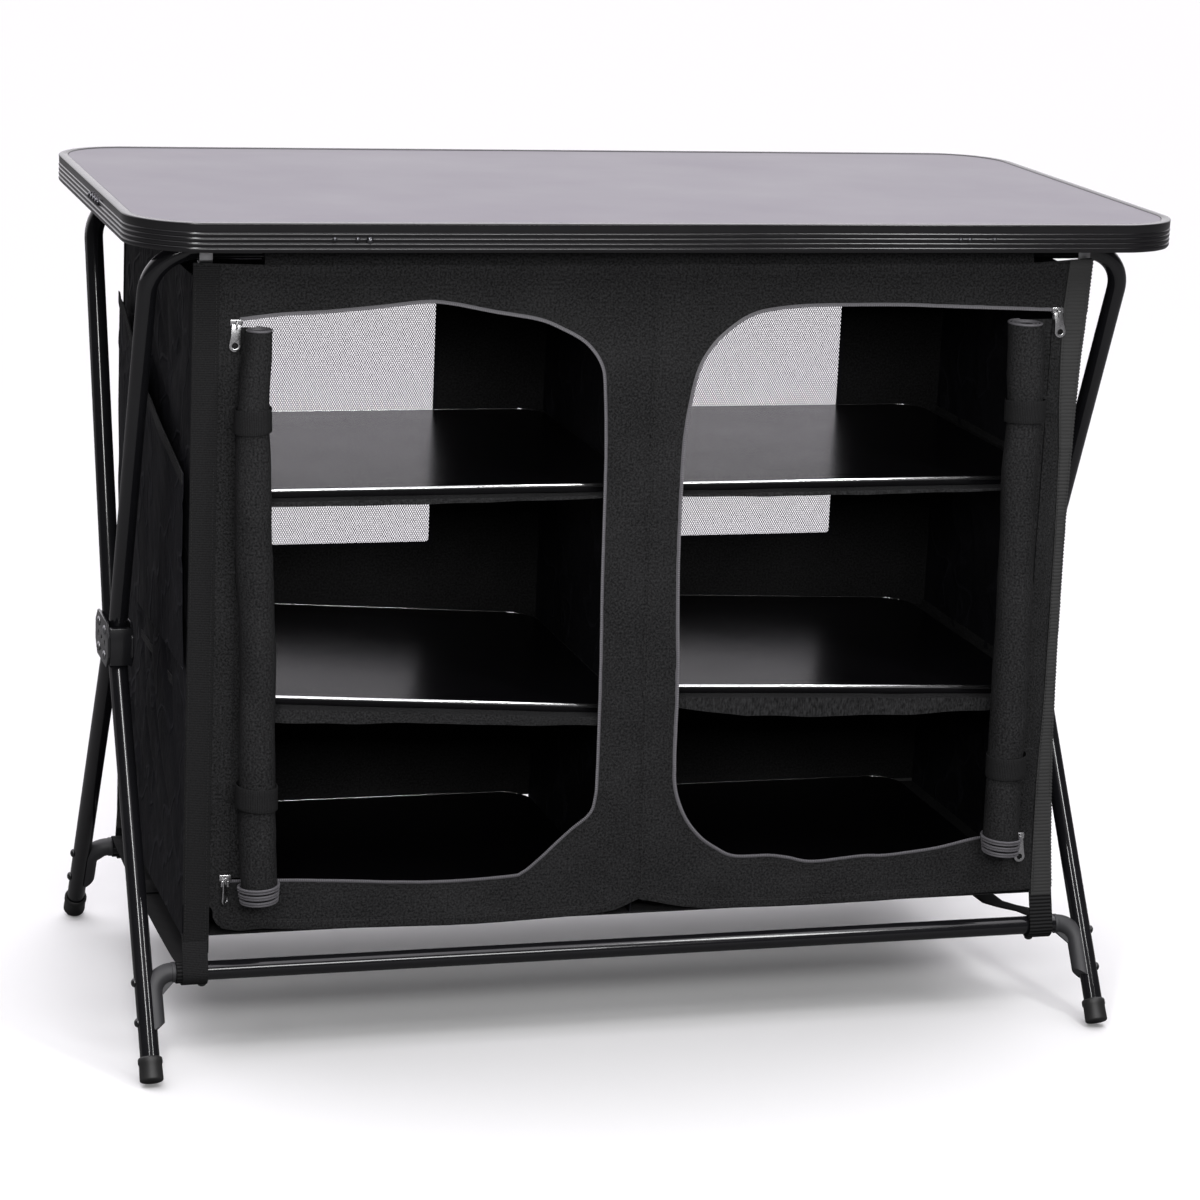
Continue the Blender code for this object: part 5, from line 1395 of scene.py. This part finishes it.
class CUPBOARD_OT_front_wall(CupboardOperator):
    """The front wall, its corner bands, seams and stitching"""
    bl_idname = "cupboard.front_wall"
    bl_label = "Front wall"

    def build(self, tubes, top, cloth, colours):
        weave = PAINTS["woven_cloth"]
        edge = [tuple(p) for p in smooth_line(LOWER_EDGE, 4)]
        outline = edge + [tuple(point) for point in reversed(TOP_EDGE)]
        doors = [[tuple(p) for p in offset_line(door_line(name), -0.0022 * sign)]
                 for name, sign in SIDES.items()]
        seam = [tuple(p) for p in smooth_line(CENTRE_SEAM, 30)]
        seam = [p for p in seam if 0.1425 < p[1] < BAG_TOP - 0.002]
        points, faces = cut_cloth(outline, doors, cloth.spacing, [seam])
        seam_set = {(round(x, 5), round(z, 5)) for x, z in seam}

        def place(p):
            y = front_y(p.x, p.y, cloth.slack)
            if (round(p.x, 5), round(p.y, 5)) in seam_set:
                y += 0.0016
            return drawn_in(Vector((p.x, y, p.y)))

        item = mesh_item("front_wall_finish", [place(p) for p in points], faces,
                         flat=[tuple(p) for p in points])
        settle(thicken(item, cloth.wall), "bag_front", "cloth", weave, ["front_wall"])
        self.bands(cloth)
        self.hems(cloth, weave, edge)
        self.stitches(cloth, colours, edge)

    def bands(self, cloth):
        """Corner webbing, sewn on the wall and hanging below it over the riveted straps."""
        rows = []
        for n in range(61):
            z = BAG_TOP - 0.001 - (BAG_TOP - FUZZY_FOOT) * n / 60
            lean = 0.0020 * (BAG_TOP - z)
            xs = [cloth.strap * share - BAG_SIDE - 0.0005 + lean for share in (1, 0.75, 0.5, 0.25, 0)]
            rows.append([(x, self.face(x, z, cloth), z) for x in xs])
        item = soften(thicken(lofted("left_corner_band", rows), cloth.webbing), 0.0004)
        settle(item, "bag_front", "webbing", PAINTS["hook_loop"])
        rows, turned = [], []
        for n in range(RIB_ROWS + 1):
            z = BAG_TOP + 0.005 - (BAG_TOP - BAND_FOOT) * n / RIB_ROWS
            inner, outer = read_off(RIGHT_BAND, z), read_off(RIGHT_EDGE, z) + 0.0005
            rib = 0.0003 * math.sin(math.tau * z / RIB_PITCH)
            y = self.face(inner, z, cloth) - rib
            wrap = min(1.0, max(0.0, (z - 0.130) / 0.03))
            over = (cloth.strap - (outer - inner)) * wrap
            rows.append([(inner + (outer - inner) * k / 4, y, z) for k in range(5)])
            if wrap > 0:
                turned.append([(outer + rib, y + over * k / 4, z) for k in range(5)])
        item = soften(thicken(lofted("right_corner_band", rows), cloth.webbing), 0.0003)
        settle(item, "bag_front", "webbing", PAINTS["webbing"])
        item = thicken(lofted("right_corner_turned_band", turned), cloth.webbing)
        gather_cloth(settle(item, "bag", "webbing", PAINTS["webbing"]))

    def face(self, x, z, cloth):
        """Where the webbing lies on the wall, and in line with it below the wall."""
        return min(front_y(x, max(z, BAG_BOTTOM), cloth.slack), FRONT_FACE - 0.001) - 0.0014

    def hems(self, cloth, weave, edge):
        """The rolled hem along the sagging lower edge and the binding along the top."""
        across = [BAG_SIDE * (n / 60 - 1) for n in range(121)]
        top = [Vector((x, read_off(TOP_EDGE, x))) for x in across]
        bottom = [Vector(point) for point in edge if point[0] > -0.4]
        for name, line, low, high in (("lower_hem", bottom, -0.0012, 0.0085),
                                      ("upper_hem", top, -0.012, 0.0)):
            rows = []
            for p in line:
                y = front_y(p.x, p.y, cloth.slack) - 0.0011
                rows.append([drawn_in(Vector((p.x, y + 0.0004 * (k in (0, 4)),
                                              p.y + low + (high - low) * k / 4))) for k in range(5)])
            settle(thicken(lofted(name, rows), 0.0010), "bag_front", "cloth", weave)

    def stitches(self, cloth, colours, edge):
        """Rows of thread round the doors, down the bands and the seam, and along the hems."""
        thread = moulded([value * 0.45 for value in colours.cloth], "thread", 0.7)
        lines = []
        for name, sign in SIDES.items():
            around = offset_line(door_line(name), -sign * cloth.seam_offset)
            lines.append(on_front(around, cloth.slack, 0.0008))
            heights = [BAG_BOTTOM + 0.004 + (BAG_TOP - BAG_BOTTOM - 0.008) * n / 60 for n in range(61)]
            for share in (0.10, 0.90):
                spots = [(cloth.strap * share - BAG_SIDE - 0.0005, z) for z in heights]
                if sign > 0:
                    spots = [(read_off(RIGHT_BAND, z) * share + read_off(RIGHT_EDGE, z) * (1 - share), z)
                             for z in heights]
                lines.append([(x, front_y(x, z, cloth.slack) - 0.0026, z) for x, z in spots])
            low = BAG_BOTTOM + (0.035 if sign < 0 else 0.012)
            for inset in (0.0295, 0.0365):
                x = sign * (BAG_SIDE - inset)
                spots = [(x, low + (0.7425 - low) * n / 60) for n in range(61)]
                lines.append([drawn_in(point) for point in on_front(spots, cloth.slack, 0.0008)])
        seam = [(p.x + 0.0028, p.y) for p in smooth_line(CENTRE_SEAM, 20)]
        lines.append(on_front(seam, cloth.slack, 0.0006))
        lines.append(on_front([(x, z + 0.0065) for x, z in edge if x > -0.4], cloth.slack, 0.0018))
        beads("front_stitches", lines, "cloth", thread, cloth.stitch, (0.0026, 0.0007, 0.0006))


class CUPBOARD_OT_doors(CupboardOperator):
    """Rolled doors with their zip edges and tie bands"""
    bl_idname = "cupboard.doors"
    bl_label = "Rolled doors"

    def build(self, tubes, top, cloth, colours):
        weave = PAINTS["woven_cloth"]
        grey = coil(colours.zip_tape)
        coil([value * 1.8 for value in colours.zip_tape], "zip_teeth")
        for name, sign in SIDES.items():
            self.roll(name, sign, cloth, weave)
            self.zip_rings(name, sign, cloth, grey)
            for number, height in enumerate(TIE_MIDDLES):
                self.tie(name, sign, number, height)

    def axis(self, name, z):
        line = ROLL_LINES[name]
        sway = 0.0010 * noise.noise(Vector((z / 0.11, line[0][1] * 9, 3.3)))
        return Vector((read_off(line, z) + sway, ROLL_BACK - read_off(line, z, 2), z))

    def radius_at(self, name, z, angle, seed):
        """The roll is nipped where its ties go round, and a little uneven between them."""
        radius = read_off(ROLL_LINES[name], z, 2)
        nip = sum(math.exp(-((z - tie) / 0.020) ** 2) for tie in TIE_MIDDLES)
        uneven = 0.0012 * noise.noise(Vector((math.cos(angle), math.sin(angle), z / 0.06 + seed)))
        fold = crease(angle * radius, z, 0.05, 1.2, 2.5, seed)
        return radius - 0.0006 - 0.0007 * nip + uneven + 0.0007 * fold

    def roll(self, name, sign, cloth, weave):
        """The door's cloth, from its seam on the wall inwards in a spiral."""
        low_z, top_z = ROLLS[name][0][0], ROLLS[name][-1][0]
        seed = 5.0 * sign
        per_turn, levels = 44, 80
        count = int(per_turn * cloth.roll_turns)
        heights = [low_z + ROLL_FOOT + (top_z - low_z - ROLL_FOOT) * n / levels for n in range(levels + 1)]
        seam = Vector((sign * DOOR_SEWN, FRONT_FACE + 0.0008, 0))
        rows = []
        for n in range(4):
            row = []
            for z in heights:
                back = self.axis(name, z) + Vector((0, self.radius_at(name, z, math.pi / 2, seed), 0))
                row.append(Vector((*seam.lerp(back, n / 4).xy, z)))
            rows.append(row)
        for step in range(count + 1):
            share = step / count
            turn = math.pi / 2 + sign * math.tau * cloth.roll_turns * share
            high = top_z - 0.0025 * math.sin(min(1.0, share * 3) * math.pi / 2)
            low = low_z + ROLL_FOOT - 0.0175 * share
            row = []
            for level in range(levels + 1):
                z = low + (high - low) * level / levels
                outer = self.radius_at(name, z, turn, seed)
                row.append(self.around(name, z, outer - (outer - ROLL_CORE) * share, turn))
            rows.append(row)
        piece = settle(thicken(lofted(name + "_door_roll_finish", rows), 0.0009), "bag_front", "cloth",
                       weave, [name + "_door_roll"])

    def around(self, name, z, radius, angle, skew=0.0):
        """A point beside a roll's axis."""
        return self.axis(name, z) + Vector((radius * math.cos(angle), radius * math.sin(angle), skew))

    def zip_rings(self, name, sign, cloth, grey):
        """The door's own zip edge, wound with the cloth: rings below and a spiral on top."""
        low_z, top_z = ROLLS[name][0][0], ROLLS[name][-1][0]
        reach, tip = ROLLS[name][0][2], ROLLS[name][-1][2]
        start = low_z + 0.0218
        lines = []
        for start_z, drop, turns, first, last in (
                (start, 0.0195, 3.1, reach + 0.0006, reach - 0.0018),
                (start - 0.0026, 0.0190, 3.1, reach + 0.0003, reach - 0.0022),
                (top_z, 0.0012, 2.7, tip - 0.0010, tip * 0.4)):
            shares = [step / int(48 * turns) for step in range(int(48 * turns) + 1)]
            lines.append([self.around(name, start_z - drop * share, first + (last - first) * share,
                                      math.pi / 2 + sign * math.tau * turns * share) for share in shares])
        tube(name + "_roll_zip", lines, "bag_front", "zip_tape", grey, 0.0012, 8)
        teeth = [[point + (point - self.axis(name, point.z)).normalized() * 0.0010 for point in line]
                 for line in lines[:2]]
        beads(name + "_roll_teeth", teeth, "zip_tape", grey, cloth.tooth, (0.0011, 0.0020, 0.0012))

    def tie(self, name, sign, number, height):
        """A band of cloth tape round the roll, closed on itself and sewn to the wall beside the door."""
        rows = []
        for step in range(61):
            angle = math.pi / 2 + math.tau * step / 60 * 1.04
            skew = 0.0014 * math.sin(angle + number * 2 + sign)
            row = []
            for k in range(7):
                z = height - TIE_HALF + 2 * TIE_HALF * k / 6
                radius = read_off(ROLL_LINES[name], z, 2) + GAP + 0.0008 * step / 60
                row.append(self.around(name, z, radius, angle, skew))
            rows.append(row)
        start = self.axis(name, height).x
        half = TIE_HALF * 0.96
        reach = sign * 0.404 - start
        tail = [[(start + reach * n / 6, FRONT_FACE - 0.0014, height - half + 2 * half * k / 4)
                 for k in range(5)] for n in range(7)]
        for label, strip, paint in (("", rows, "hook_loop"), ("_tail", tail, "woven_cloth")):
            item = soften(thicken(lofted(f"{name}_tie_{number + 1}{label}", strip), 0.0011), 0.0003)
            settle(item, "bag_front", "cloth", PAINTS[paint])


class CUPBOARD_OT_zips(CupboardOperator):
    """Zips round the openings, their sliders and their pulls"""
    bl_idname = "cupboard.zips"
    bl_label = "Zips"

    def build(self, tubes, top, cloth, colours):
        zinc = bright_metal([value * 0.75 for value in colours.bright_metal], "zip_zinc", 0.24)
        for name, sign in SIDES.items():
            self.tape(name, sign, cloth)
            for level in ("upper", "lower"):
                self.slider(f"{level}_{name}", zinc)
                self.pull(f"{level}_{name}", zinc)

    def tape(self, name, sign, cloth):
        """The zip's tape, seen as a narrow band, with its coil of teeth at the opening."""
        line = door_line(name)
        folds = [(offset_line(line, -sign * width), sink) for width, sink in ZIP_SECTION]
        rows = [[(fold[n].x, front_y(fold[n].x, fold[n].y, cloth.slack) + sink, fold[n].y)
                 for fold, sink in folds] for n in range(len(line))]
        item = thicken(lofted(name + "_door_zip_finish", rows), 0.0009)
        settle(item, "bag_front", "zip_tape", PAINTS["zip_coil"], [name + "_door_zip"])
        edge = on_front(offset_line(line, -sign * 0.0002), cloth.slack, 0.0013)
        beads(name + "_zip_teeth", [edge], "zip_tape", PAINTS["zip_teeth"], cloth.tooth,
              (0.0012, 0.0026, 0.0014))

    def slider(self, place_name, zinc):
        """A die-cast slider with the bridge that holds its pull."""
        pivot = HINGES[place_name + "_pull"]
        places = [Matrix.Translation((pivot.x, FRONT_FACE - 0.0022, pivot.z + rise))
                  @ Matrix.Diagonal((width, 0.0034, height, 1))
                  for width, height, rise in ((0.0116, 0.0062, 0.0028), (0.0084, 0.0066, -0.0030))]
        item = block_item(place_name + "_slider", *places)
        settle(soften(item, 0.0009, 3), "bag_front", "zip_metal", zinc)
        arch = ((0.0036, 0.0042), (0.0056, 0.0034), (0.0062, 0.0002), (0.0058, -0.0026),
                (0.0036, -0.0036))
        bridge = [(pivot.x, FRONT_FACE - proud, pivot.z + rise) for proud, rise in arch]
        tube(place_name + "_bridge", [smooth_line(bridge, 5)], "bag_front", "zip_metal", zinc, 0.0008, 10)

    def pull(self, place_name, zinc):
        """A long pull with a hole in its round end."""
        name = place_name + "_pull"
        low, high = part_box(name)
        length, half = high.z - low.z, (high.x - low.x) / 2
        waist, shoulder = (half * 0.80, -length * 0.45), (half * 0.71, 0.0)
        end = [(half * math.cos(a), -length + half + half * math.sin(a))
               for a in (-math.pi * n / 14 for n in range(15))]
        outer = [shoulder, waist, *end, (-waist[0], waist[1]), (-shoulder[0], 0.0)]
        hole = circle(half * 0.60, 20, (0.0, half - length))
        item = outline_item(name + "_finish", (outer, hole), 0.0003, 0.00035, 1)
        item.matrix_world = (Matrix.Translation((HINGES[name].x, (low.y + high.y) / 2, high.z))
                             @ Matrix(((1, 0, 0), (0, 0, -1), (0, 1, 0))).to_4x4()
                             @ Matrix.Rotation(math.radians(PULL_LEANS[place_name]), 4, "Z")
                             @ Matrix.Rotation(math.radians(PULL_TURNS.get(place_name, 0)), 4, "Y"))
        settle(item, name, "zip_metal", zinc, [name], turn_out=True)


class CUPBOARD_OT_boards(CupboardOperator):
    """Shelf boards with their bright edge strips"""
    bl_idname = "cupboard.boards"
    bl_label = "Shelf boards"

    def build(self, tubes, top, cloth, colours):
        black = satin_board(colours.board)
        bright = bright_metal(colours.bright_metal, roughness=0.20)
        for level in ("lower", "middle", "upper"):
            for side in SIDES:
                self.board(f"{level}_{side}_board", black, bright)

    def board(self, name, black, bright):
        low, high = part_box(name)
        width, depth = high.x - low.x, high.y - low.y
        tilt = math.atan((high.z - low.z - BOARD_THICK) / width)
        middle = Vector(((low.x + high.x) / 2, (low.y + high.y) / 2, (low.z + high.z) / 2))
        place = Matrix.Translation(middle) @ Matrix.Rotation(tilt, 4, "Y")
        outline = rounded_rectangle(width / 2, depth / 2, BOARD_CORNER, 10)
        half = BOARD_THICK / 2
        levels = [(-half, 0.0), (half - 0.0004, 0.0), (half, 0.0004)]
        rows = []
        for x, y in outline:
            shrink = Vector((x, y)).normalized()
            rows.append([place @ Vector((x - shrink.x * i, y - shrink.y * i, z)) for z, i in levels])
        item = capped(lofted(name + "_finish", rows, closed=True))
        settle(item, name, "board", black, [name], turn_out=True, sharp=30)
        front = [(x, -depth / 2 - 0.0002) for x in (-width / 2 + 0.010, width / 2 - 0.010)]
        rear = [(x, y + 0.0003) for x, y in outline if y > depth / 2 - 0.012]
        for label, line, foot, crest, bulge in (("front", front, 0.0002, 0.0042, 0.0012),
                                                ("rear", rear, 0.0034, 0.0042, 0.0)):
            section = [(bulge * math.sin(math.pi * n / 6), foot + (crest - foot) * n / 6) for n in range(7)]
            rows = [[place @ Vector((x, y - proud, z)) for proud, z in section] for x, y in line]
            strip = soften(thicken(lofted(f"{name}_{label}_strip", rows), 0.0006), 0.0002)
            settle(strip, name, "zip_metal", bright)


class CUPBOARD_OT_flaps(CupboardOperator):
    """Cloth flaps that hang the cabinet from the top rails"""
    bl_idname = "cupboard.flaps"
    bl_label = "Hanging flaps"

    def build(self, tubes, top, cloth, colours):
        ring = tubes.tube_radius + 0.0009
        for name, end in ENDS.items():
            node = name + "_hanging_flap"
            low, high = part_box(node)
            path = [Vector((0, FLAP_FACE, low.z + (FLAP_TOP - low.z) * n / 4)) for n in range(5)]
            path += arc_points((-tubes.rail_spread, tubes.rail_height), ring, 170,
                               170 - math.degrees(cloth.flap_wrap), 28)
            columns = [low.x + (high.x - low.x) * n / 90 for n in range(91)]
            rows = [[Vector((x, p.y + 0.0003 * ripple(x, p.z, 0.04, 61.0), p.z)) for x in columns]
                    for p in turned_over(path, end)]
            settle(thicken(lofted(node + "_finish", rows), 0.0009), name + "_upper_frame", "cloth",
                   PAINTS["woven_cloth"], [node])


class CUPBOARD_OT_studio(CupboardOperator):
    """Pale floor, soft lights and the camera"""
    bl_idname = "cupboard.studio"
    bl_label = "Studio"

    def execute(self, context):
        studio = context.scene.cupboard_studio
        floor_mesh = bpy.data.meshes.new("studio_floor")
        far = 60.0
        corners = [(-far, -far, 0), (far, -far, 0), (far, far, 0), (-far, far, 0)]
        floor_mesh.from_pydata(corners, [], [(0, 1, 2, 3)])
        floor = link(bpy.data.objects.new("studio_floor", floor_mesh))
        floor.location.z = CAD_BOX[0].z
        paper = Finish("studio_paper", (0.80, 0.80, 0.80), 0.75)
        fleck = paper.noise(paper.place(), 40.0, 3.0)
        paper.wear(Roughness=paper.between(fleck, 0.7, 0.85))
        bounced = paper.node("ShaderNodeBsdfDiffuse", None, {"Color": (0.14, 0.14, 0.14, 1.0)})
        seen = paper.node("ShaderNodeLightPath")
        both = paper.node("ShaderNodeMixShader", None,
                          {0: seen, 1: bounced, 2: Socket(paper, paper.shader.outputs[0])})
        paper.feed(paper.tree.nodes["Material Output"].inputs["Surface"], both)
        floor_mesh.materials.append(paper.material)
        self.sky(context.scene, studio)
        self.softbox("key", (-0.3, -2.6, 1.35), (0, 0, 0.3), 2.2, 0.45, studio.key)
        self.softbox("left_strip", (-0.75, -1.35, 1.75), (-0.3, 0, 0.3), 0.18, 0.8, studio.strip)
        self.softbox("right_strip", (0.80, -1.30, 1.75), (0.3, 0, 0.3), 0.18, 0.8, studio.strip)
        self.camera(context.scene, studio)
        context.scene.view_settings.view_transform = "Standard"
        return {"FINISHED"}

    def sky(self, scene, studio):
        """A dome that is bright behind and above, and dim in front."""
        world = bpy.data.worlds.new("studio_dome")
        world.use_nodes = True
        scene.world = world
        graph = Graph(world.node_tree)
        background = world.node_tree.nodes["Background"]
        direction = graph.node("ShaderNodeTexCoord", output=0)
        split = graph.node("ShaderNodeSeparateXYZ", None, {"Vector": direction})
        height = Socket(graph, split.output.node.outputs["Z"])
        depth = Socket(graph, split.output.node.outputs["Y"])
        lit = graph.node("ShaderNodeMapRange", {"clamp": True, "interpolation_type": "SMOOTHSTEP"},
                         {"Value": depth * 0.9 + height * 0.5, "From Min": 0.25, "From Max": 0.85,
                          "To Min": 0.05, "To Max": studio.dome})
        overhead = graph.node("ShaderNodeMapRange", {"clamp": True, "interpolation_type": "SMOOTHSTEP"},
                              {"Value": height, "From Min": 0.70, "From Max": 0.86, "To Min": 0.0,
                               "To Max": studio.ceiling})
        seen = graph.node("ShaderNodeLightPath")
        graph.feed(background.inputs["Strength"], graph.maths("MAXIMUM", lit + overhead, seen))
        background.inputs["Color"].default_value = (*studio.tint, 1.0)

    def softbox(self, name, place, aim, width, height, power):
        lamp = bpy.data.lights.new(name, "AREA")
        lamp.shape = "RECTANGLE"
        lamp.size = width
        lamp.size_y = height
        lamp.energy = power
        item = link(bpy.data.objects.new(name, lamp))
        item.visible_camera = False
        item.location = place
        item.rotation_euler = (Vector(aim) - Vector(place)).to_track_quat("-Z", "Y").to_euler()

    def camera(self, scene, studio):
        data = bpy.data.cameras.new("camera")
        data.sensor_width = 36.0
        data.lens = studio.lens
        item = link(bpy.data.objects.new("camera", data))
        yaw, pitch, roll = studio.yaw, studio.pitch, studio.roll
        level = math.cos(pitch)
        forward = Vector((math.sin(yaw) * level, math.cos(yaw) * level, -math.sin(pitch)))
        right = Vector((math.cos(yaw), -math.sin(yaw), 0.0))
        up = right.cross(forward)
        tilted_right = right * math.cos(roll) + up * math.sin(roll)
        tilted_up = up * math.cos(roll) - right * math.sin(roll)
        turn = Matrix((tilted_right, tilted_up, -forward)).transposed().to_4x4()
        item.matrix_world = Matrix.Translation(studio.camera_place) @ turn
        scene.camera = item


class CUPBOARD_PT_panel(Panel):
    """Lists the cupboard's pieces"""
    bl_idname = "CUPBOARD_PT_panel"
    bl_label = "Camping cupboard"
    bl_space_type = "VIEW_3D"
    bl_region_type = "UI"
    bl_category = "Cupboard"

    def draw(self, context):
        for operator in OPERATORS:
            self.layout.operator(operator.bl_idname)


SETTINGS = {
    "cupboard_frame": FrameSizes,
    "cupboard_worktop": WorktopSizes,
    "cupboard_cloth": ClothSizes,
    "cupboard_colours": Palette,
    "cupboard_studio": StudioSizes,
}
OPERATORS = (CUPBOARD_OT_worktop, CUPBOARD_OT_hubs, CUPBOARD_OT_upper_frames, CUPBOARD_OT_lower_frames,
             CUPBOARD_OT_straps, CUPBOARD_OT_cabinet, CUPBOARD_OT_front_wall, CUPBOARD_OT_doors,
             CUPBOARD_OT_zips, CUPBOARD_OT_boards, CUPBOARD_OT_flaps, CUPBOARD_OT_studio)
PIPES = pipe_recipe()
STITCHES = stitch_recipe()
STUDS = stud_recipe()


def register():
    for item in (*SETTINGS.values(), *OPERATORS, CUPBOARD_PT_panel):
        bpy.utils.register_class(item)
    for name, group in SETTINGS.items():
        setattr(bpy.types.Scene, name, PointerProperty(type=group))


def unregister():
    for name in SETTINGS:
        delattr(bpy.types.Scene, name)
    for item in (CUPBOARD_PT_panel, *reversed(OPERATORS), *reversed(SETTINGS.values())):
        bpy.utils.unregister_class(item)


def main():
    register()
    for operator in OPERATORS:
        getattr(bpy.ops.cupboard, operator.bl_idname.split(".")[1])()


if __name__ == "__main__":
    main()
